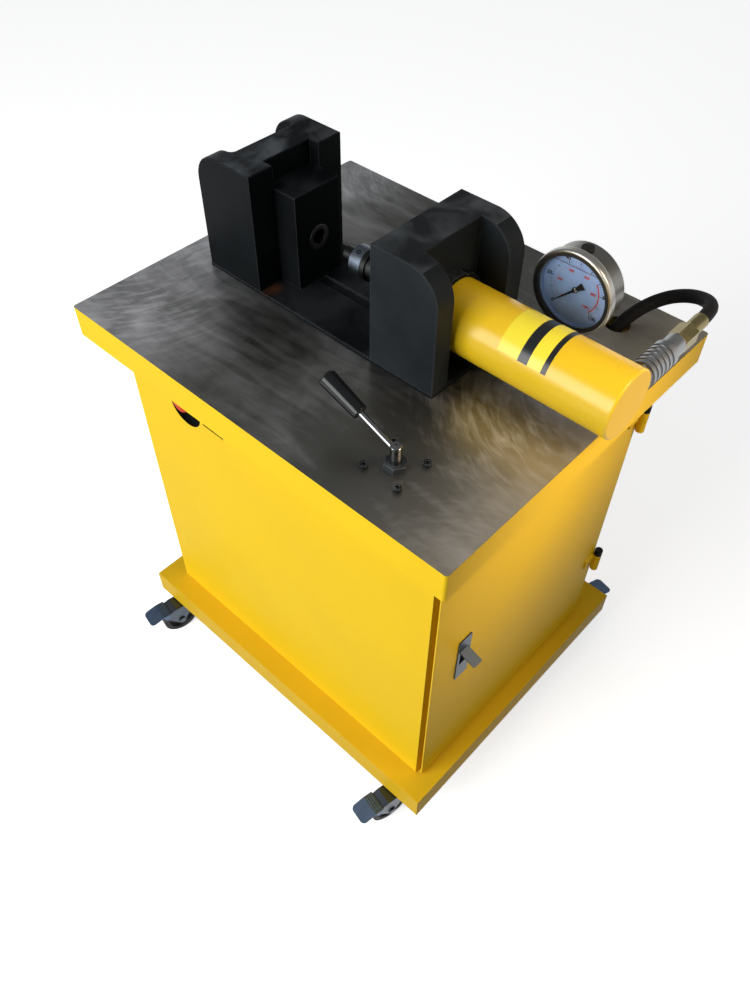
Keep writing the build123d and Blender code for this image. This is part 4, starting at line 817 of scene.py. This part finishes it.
def dial_pattern():
    """Bars on an arc in the XZ plane, from the first angle clockwise."""
    sizes = {"Radius": 0.04, "Length": 0.003, "Width": 0.0004}
    tree = Pattern("dial_ticks", Count=61, First=3.9, Sweep=4.7, **sizes)
    line = tree.node("GeometryNodeMeshLine", None, {"Count": tree.given("Count")})
    index = tree.node("GeometryNodeInputIndex")
    angle = tree.given("First") - tree.given("Sweep") * index / (tree.given("Count") - 1)
    reach = tree.given("Radius")
    spot = tree.vector(reach * tree.math("COSINE", angle), 0.0, reach * tree.math("SINE", angle))
    points = tree.node("GeometryNodeSetPosition", None, {"Geometry": line, "Position": spot})
    size = tree.vector(tree.given("Length"), print_depth, tree.given("Width"))
    bar = tree.node("GeometryNodeMeshCube", None, {"Size": size})
    euler = tree.vector(y=-1 * angle)
    turn = tree.node("FunctionNodeEulerToRotation", None, {"Euler": euler})
    sockets = {"Points": points, "Instance": bar, "Rotation": turn}
    tree.finish(tree.node("GeometryNodeInstanceOnPoints", None, sockets))
    return tree


def ring(centre, inner, outer, start, end, depth, steps):
    """A flat ring or arc in the XZ plane, between two angles, as thick as depth along Y."""
    shape = bmesh.new()
    sections = []
    closed = math.isclose(end - start, math.tau)
    for step in range(steps if closed else steps + 1):
        angle = start + (end - start) * step / steps
        along = Vector((math.cos(angle), 0, math.sin(angle)))
        corners = (centre + along * inner, centre + along * outer)
        places = [corner + Vector((0, push, 0)) for push in (0, depth) for corner in corners]
        sections.append([shape.verts.new(place) for place in places])
    pairs = list(zip(sections, sections[1:] + sections[:1]))
    for first, second in pairs if closed else pairs[:-1]:
        for a, b in ((0, 1), (1, 3), (3, 2), (2, 0)):
            shape.faces.new((first[a], first[b], second[b], second[a]))
    if not closed:
        for a, b, c, d in (sections[0], sections[-1]):
            shape.faces.new((a, b, d, c))
    return shape


def turned(profile, centre, steps=40):
    """A solid turned about Y through a centre; the (reach, y) pairs start and end on the axis."""
    shape = bmesh.new()
    rim = [shape.verts.new(centre + Vector((reach, y, 0))) for reach, y in profile]
    edges = [shape.edges.new(pair) for pair in zip(rim, rim[1:])]
    bmesh.ops.spin(
        shape, geom=rim + edges, cent=centre, axis=(0, 1, 0), angle=math.tau, steps=steps,
        use_merge=True,
    )
    bmesh.ops.remove_doubles(shape, verts=shape.verts, dist=weld)
    return shape


class BUSBAR_OT_dial(bpy.types.Operator):
    """Prints the gauge's dial and adds its flange, fill line and pointer hub"""

    bl_idname = "busbar.dial"
    bl_label = "Gauge dial"

    zero = math.radians(225)
    sweep = math.radians(270)
    # Name, ink, count, radius, length and width
    ticks = (
        ("dial_ticks_large", "ink", 11, 0.0345, 0.0042, 0.0007),
        ("dial_ticks_small", "ink", 51, 0.0355, 0.0022, 0.0003),
        ("dial_ticks_inner", "red_ink", 51, 0.0288, 0.0020, 0.0003),
    )
    number_radius = 0.0400
    inner_radius = 0.0238
    inner_share = 0.7
    limit_radii = (0.0306, 0.0322)
    limit_angles = (math.radians(-45), math.radians(36))
    flange_radii = (0.0462, 0.0485)
    flange_gap = 0.0003
    window_radius = 0.0460
    fill_level = 0.0315
    fill_width = 0.0006
    fill_gap = 0.0002
    hub = ((0.0, 0.0), (0.0036, 0.0), (0.0036, -0.0010), (0.0028, -0.0016), (0.0, -0.0018))

    def numbers(self, name, face, radius, height, values, ink):
        """Upright numbers round the dial, as one mesh."""
        shape = bmesh.new()
        depsgraph = bpy.context.evaluated_depsgraph_get()
        for step, value in enumerate(values):
            angle = self.zero - self.sweep * step / (len(values) - 1)
            text = bpy.data.curves.new(name, "FONT")
            text.body = str(value)
            text.size = height
            text.offset = height * 0.03
            text.align_x = text.align_y = "CENTER"
            text.extrude = print_depth / 2
            holder = linked(name + "_text", text)
            depsgraph.update()
            mesh = bpy.data.meshes.new_from_object(holder.evaluated_get(depsgraph))
            place = face + Vector((radius * math.cos(angle), 0, radius * math.sin(angle)))
            mesh.transform(Matrix.Translation(place) @ Matrix.Rotation(math.radians(90), 4, "X"))
            shape.from_mesh(mesh)
            bpy.data.objects.remove(holder)
        bmesh.ops.remove_doubles(shape, verts=shape.verts, dist=weld)
        fitted(meshed(name, shape, finish(ink)), "machine")

    def execute(self, context):
        height = context.scene.busbar_sizes.number_height
        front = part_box("gauge_dial")[0].y
        face = middle("gauge_dial")
        face.y = front - print_depth / 2
        pattern = dial_pattern()
        for name, ink, count, radius, tick, width in self.ticks:
            row = grown(
                name, pattern, finish(ink), Count=count, Radius=radius, Length=tick, Width=width,
                First=self.zero, Sweep=self.sweep,
            )
            row.data.transform(Matrix.Translation(face))
            fitted(row, "machine")
        self.numbers("dial_numbers", face, self.number_radius, height, range(0, 101, 20), "ink")
        self.numbers(
            "dial_numbers_inner", face, self.inner_radius, height * self.inner_share,
            range(0, 1001, 200), "red_ink",
        )
        limit = ring(face, *self.limit_radii, *self.limit_angles, print_depth, steps=24)
        fitted(meshed("dial_limit_band", limit, finish("red_ink")), "machine")
        seat = Vector((face.x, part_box("gauge_glass")[1].y + self.flange_gap, face.z))
        depth = front - seat.y - self.flange_gap
        flange = ring(seat, *self.flange_radii, 0.0, math.tau, depth, steps=64)
        fitted(meshed("dial_flange", flange, finish("dial_white")), "machine")
        chord = math.sqrt(self.window_radius ** 2 - self.fill_level ** 2)
        line = bmesh.new()
        bmesh.ops.create_cube(line, size=1.0)
        bmesh.ops.scale(line, vec=(2 * chord, print_depth, self.fill_width), verts=line.verts)
        level = seat + Vector((0, self.fill_gap, self.fill_level))
        bmesh.ops.translate(line, vec=level, verts=line.verts)
        fitted(meshed("gauge_fill_line", line, finish("ink")), "machine")
        boss = Vector((face.x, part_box("gauge_pointer")[0].y, face.z))
        hub = turned(self.hub, boss, steps=24)
        fitted(meshed("pointer_hub", hub, finish("chrome")), "needle")
        return {"FINISHED"}


class BUSBAR_OT_stop_cap(bpy.types.Operator):
    """Puts the mushroom head on the stop button"""

    bl_idname = "busbar.stop_cap"
    bl_label = "Stop button's head"

    seat_gap = 0.0001
    profile = (
        (0.0, 0.0), (0.0080, -0.0002), (0.0080, -0.0052), (0.0152, -0.0058), (0.0164, -0.0072),
        (0.0150, -0.0098), (0.0090, -0.0116), (0.0, -0.0122),
    )

    def execute(self, context):
        seat = middle("stop_button")
        seat.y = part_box("stop_button")[0].y - self.seat_gap
        cap = turned(self.profile, seat)
        fitted(meshed("stop_cap", cap, finish("stop_red")), "stop")
        return {"FINISHED"}


def spots(name, places):
    """Bare points, each with the way its screw faces."""
    mesh = bpy.data.meshes.new(name)
    mesh.from_pydata([place for place, _ in places], [], [])
    facing = mesh.attributes.new("facing", "FLOAT_VECTOR", "POINT")
    facing.data.foreach_set("vector", [number for _, way in places for number in way])
    return mesh


def screw_pattern(name, sides):
    """Heads on points: a socket in a round head, or a hexagon on a washer."""
    tree = Pattern(name, Width=0.006, Height=0.004, Inner=0.003, Depth=0.002)
    half, height = tree.given("Width") / 2, tree.given("Height")
    inner, depth = tree.given("Inner") / 2, tree.given("Depth")

    def drum(sides, radius, tall, base):
        sockets = {"Vertices": sides, "Radius": radius, "Depth": tall}
        return tree.lifted(tree.node("GeometryNodeMeshCylinder", None, sockets), base + tall / 2)

    if sides == 6:
        head = tree.joined(drum(24, inner, depth, 0.0), drum(6, half, height, depth))
    else:
        recess = drum(6, inner, depth * 2, height - depth)
        sockets = {"Mesh 1": drum(sides, half, height, 0.0), "Mesh 2": recess}
        head = tree.node("GeometryNodeMeshBoolean", {"operation": "DIFFERENCE"}, sockets)
    settings = {"data_type": "FLOAT_VECTOR"}
    way = tree.node("GeometryNodeInputNamedAttribute", settings, {"Name": "facing"})
    turn = tree.node("FunctionNodeAlignRotationToVector", {"axis": "Z"}, {"Vector": way})
    sockets = {"Points": tree.given("Geometry"), "Instance": head, "Rotation": turn}
    tree.finish(tree.node("GeometryNodeInstanceOnPoints", None, sockets))
    return tree


class BUSBAR_OT_screws(bpy.types.Operator):
    """Sets the small screws that the solids leave out"""

    bl_idname = "busbar.screws"
    bl_label = "Screws and bolts"

    lid_bolt = {"Width": 0.0115, "Height": 0.004, "Inner": 0.014, "Depth": 0.0012}
    small_bolt = {"Width": 0.0095, "Height": 0.004, "Inner": 0.0115, "Depth": 0.001}
    collar_angle = math.radians(62)
    lock_angle = math.radians(80)
    sunk = 0.0036
    lid_inset = 0.010
    flange_thick = 0.010
    flange_reach = 0.0675
    plate_size = Vector((0.070, 0.056, 0.004))
    plate_reach = (0.027, 0.020)

    def on_ring(self, node, angle):
        """A point on a round piece about the press axis, angle up from the front."""
        low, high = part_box(node)
        centre = middle(node)
        way = Vector((0, -math.cos(angle), math.sin(angle)))
        return centre + way * ((high.z - low.z) / 2 - self.sunk), way

    def execute(self, context):
        width = context.scene.busbar_sizes.screw_width
        sockets = screw_pattern("socket_screws", sides=20)
        bolts = screw_pattern("hex_bolts", sides=6)
        set_screw = {"Width": width, "Height": 0.004, "Inner": width * 0.6, "Depth": 0.003}
        low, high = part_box("tank_lid")
        xs = (low.x + self.lid_inset, (low.x + high.x) / 2, high.x - self.lid_inset)
        ys = (low.y + self.lid_inset, high.y - self.lid_inset)
        lid = [((x, y, high.z), (0, 0, 1)) for x in xs for y in ys]
        motor = middle("pump_motor")
        motor.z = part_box("pump_motor")[0].z + self.flange_thick
        turns = [math.radians(45 + 90 * quarter) for quarter in range(4)]
        ways = [Vector((math.cos(turn), math.sin(turn), 0)) for turn in turns]
        feet = [(motor + self.flange_reach * way, (0, 0, 1)) for way in ways]
        low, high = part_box("caster_plates")
        half, under = self.plate_size / 2, high.z - self.plate_size.z
        across, along = self.plate_reach
        xs = (low.x + half.x, high.x - half.x)
        ys = (low.y + half.y, high.y - half.y)
        corners = [
            ((x + side * across, y + end * along, under), (0, 0, -1))
            for x in xs for y in ys for side in (-1, 1) for end in (-1, 1)
        ]
        collar = [self.on_ring("ram_collar", self.collar_angle)]
        lock = [self.on_ring("lock_ring", self.lock_angle)]
        rows = (
            ("collar_screw", sockets, collar, set_screw, "ram", "tool_steel"),
            ("lock_screw", sockets, lock, set_screw, "machine", "chrome"),
            ("lid_bolts", bolts, lid, self.lid_bolt, "machine", "zinc"),
            ("motor_bolts", bolts, feet, self.small_bolt, "machine", "zinc"),
            ("caster_bolts", bolts, corners, self.small_bolt, "machine", "zinc"),
        )
        for name, pattern, places, head, body, slot in rows:
            fitted(grown(name, pattern, finish(slot), spots(name, places), **head), body)
        return {"FINISHED"}


def studio_rays(sheet):
    """1 for rays that show the studio itself: those seen, and those mirrored or through glass."""
    path = sheet.node("ShaderNodeLightPath").socket.node.outputs
    kinds = ("Camera", "Glossy", "Transmission")
    seen, mirrored, through = (Signal(sheet, path[f"Is {kind} Ray"]) for kind in kinds)
    return seen, mirrored | through


class BUSBAR_OT_stage(bpy.types.Operator):
    """Sets the white floor, the room's light, the softboxes and the camera"""

    bl_idname = "busbar.stage"
    bl_label = "Studio"

    azimuth = math.radians(42.293)
    elevation = math.radians(49.365)
    roll = math.radians(0.679)
    eye = Vector((0.59268, -0.68457, 1.41788))
    # What each softbox lights, the way to it, its distance and its size
    key = (Vector((0.0, 0.0, 0.45)), Vector((-0.15, -0.85, 0.36)), 2.6, 1.6)
    side = (Vector((0.28, 0.0, 0.65)), Vector((0.60, 0.15, 0.60)), 0.60, 0.40)
    side_tint = (1, 0.80, 0.58)
    side_spread = math.radians(48)
    floor_grey = (0.12, 0.12, 0.12, 1)
    floor_white = (0.95, 0.95, 0.95, 1)

    def camera(self, scene):
        """The camera that was fitted to the photograph."""
        lens = bpy.data.cameras.new("camera")
        lens.lens = 31.25
        lens.sensor_width = 36.0
        lens.clip_start = 0.01
        side, rise = math.cos(self.elevation), math.sin(self.elevation)
        back = Vector((math.sin(self.azimuth) * side, -math.cos(self.azimuth) * side, rise))
        right = Vector((0, 0, 1)).cross(back).normalized()
        up = back.cross(right)
        level, tilt = math.cos(self.roll), math.sin(self.roll)
        across = level * right + tilt * up
        upward = level * up - tilt * right
        camera = linked("camera", lens)
        turn = Matrix((across, upward, back)).transposed().to_4x4()
        camera.matrix_world = Matrix.Translation(self.eye) @ turn
        scene.camera = camera

    def softbox(self, name, power, aim, way, distance, size, tint=(1, 1, 1), spread=math.pi):
        light = bpy.data.lights.new(name, "AREA")
        light.color = tint
        light.spread = spread
        light.shape = "SQUARE"
        light.size = size
        light.energy = power
        box = linked(name, light)
        place = aim + way.normalized() * distance
        turn = (place - aim).to_track_quat("Z", "Y").to_matrix().to_4x4()
        box.matrix_world = Matrix.Translation(place) @ turn

    def floor(self):
        """A floor that shows white, but lights the machine as a grey one."""
        shape = bmesh.new()
        bmesh.ops.create_grid(shape, x_segments=1, y_segments=1, size=30.0)
        material = bpy.data.materials.new("studio_floor")
        material.use_nodes = True
        sheet = Sheet(material.node_tree)
        seen, mirrored = studio_rays(sheet)
        shown = seen | mirrored
        tone = sheet.blend(shown, self.floor_grey, self.floor_white)
        paper = sheet.node("ShaderNodeBsdfDiffuse", None, {"Color": tone})
        glow = sheet.node("ShaderNodeEmission", None, {"Strength": shown * 0.66})
        sheet.close(sheet.node("ShaderNodeAddShader", None, {0: paper, 1: glow}))
        floor = meshed("studio_floor", shape, material)

    def world(self, scene, level):
        """Brighter overhead and behind, dimmer at the right, and white where it shows."""
        world = bpy.data.worlds.new("studio")
        world.use_nodes = True
        scene.world = world
        sheet = Sheet(world.node_tree)
        x, y, height = sheet.parts(sheet.node("ShaderNodeTexCoord", output="Generated"))
        room = level * (0.4 + 0.9 * sheet.clamp(height)) * (1 - 0.5 * sheet.clamp(x))
        room = room + sheet.clamp(y) * sheet.ramp(height, (0.0, 0.75), (0.4, 0.0))
        seen, mirrored = studio_rays(sheet)
        wall = seen | (mirrored * sheet.ramp(height, (0.10, 1.0), (0.36, 0.0)))
        sky = {"Color": (0.97, 0.985, 1, 1), "Strength": room + wall * (1 - room)}
        backdrop = sheet.node("ShaderNodeBackground", None, sky)
        sheet.node("ShaderNodeOutputWorld", None, {"Surface": backdrop})

    def execute(self, context):
        scene = context.scene
        look = scene.busbar_stage
        scene.view_settings.view_transform = "Standard"
        self.floor()
        self.world(scene, look.room)
        self.softbox("key", look.key, *self.key)
        self.softbox("side", look.side, *self.side, self.side_tint, self.side_spread)
        self.camera(scene)
        return {"FINISHED"}


operators = (
    BUSBAR_OT_finishes, BUSBAR_OT_polish, BUSBAR_OT_hose, BUSBAR_OT_band, BUSBAR_OT_dial,
    BUSBAR_OT_stop_cap, BUSBAR_OT_screws, BUSBAR_OT_stage,
)
groups = {
    "busbar_colours": BusbarColours, "busbar_sizes": BusbarSizes, "busbar_stage": BusbarStage,
}


class BUSBAR_PT_panel(bpy.types.Panel):
    """Lists the machine's sizes, colours and steps"""

    bl_idname = "BUSBAR_PT_panel"
    bl_label = "Busbar punch"
    bl_space_type = "VIEW_3D"
    bl_region_type = "UI"
    bl_category = "Busbar"

    def draw(self, context):
        for operator in operators:
            self.layout.operator(operator.bl_idname)
        for group, kind in groups.items():
            column = self.layout.column()
            for field in kind.__annotations__:
                column.prop(getattr(context.scene, group), field)


def register():
    for group, kind in groups.items():
        bpy.utils.register_class(kind)
        setattr(bpy.types.Scene, group, PointerProperty(type=kind))
    for kind in (*operators, BUSBAR_PT_panel):
        bpy.utils.register_class(kind)


def unregister():
    for kind in reversed((*operators, BUSBAR_PT_panel)):
        bpy.utils.unregister_class(kind)
    for group, kind in groups.items():
        delattr(bpy.types.Scene, group)
        bpy.utils.unregister_class(kind)


def main():
    register()
    bpy.ops.busbar.finishes()
    bpy.ops.busbar.polish()
    bpy.ops.busbar.hose()
    bpy.ops.busbar.band()
    bpy.ops.busbar.dial()
    bpy.ops.busbar.stop_cap()
    bpy.ops.busbar.screws()
    bpy.ops.busbar.stage()


if __name__ == "__main__":
    main()
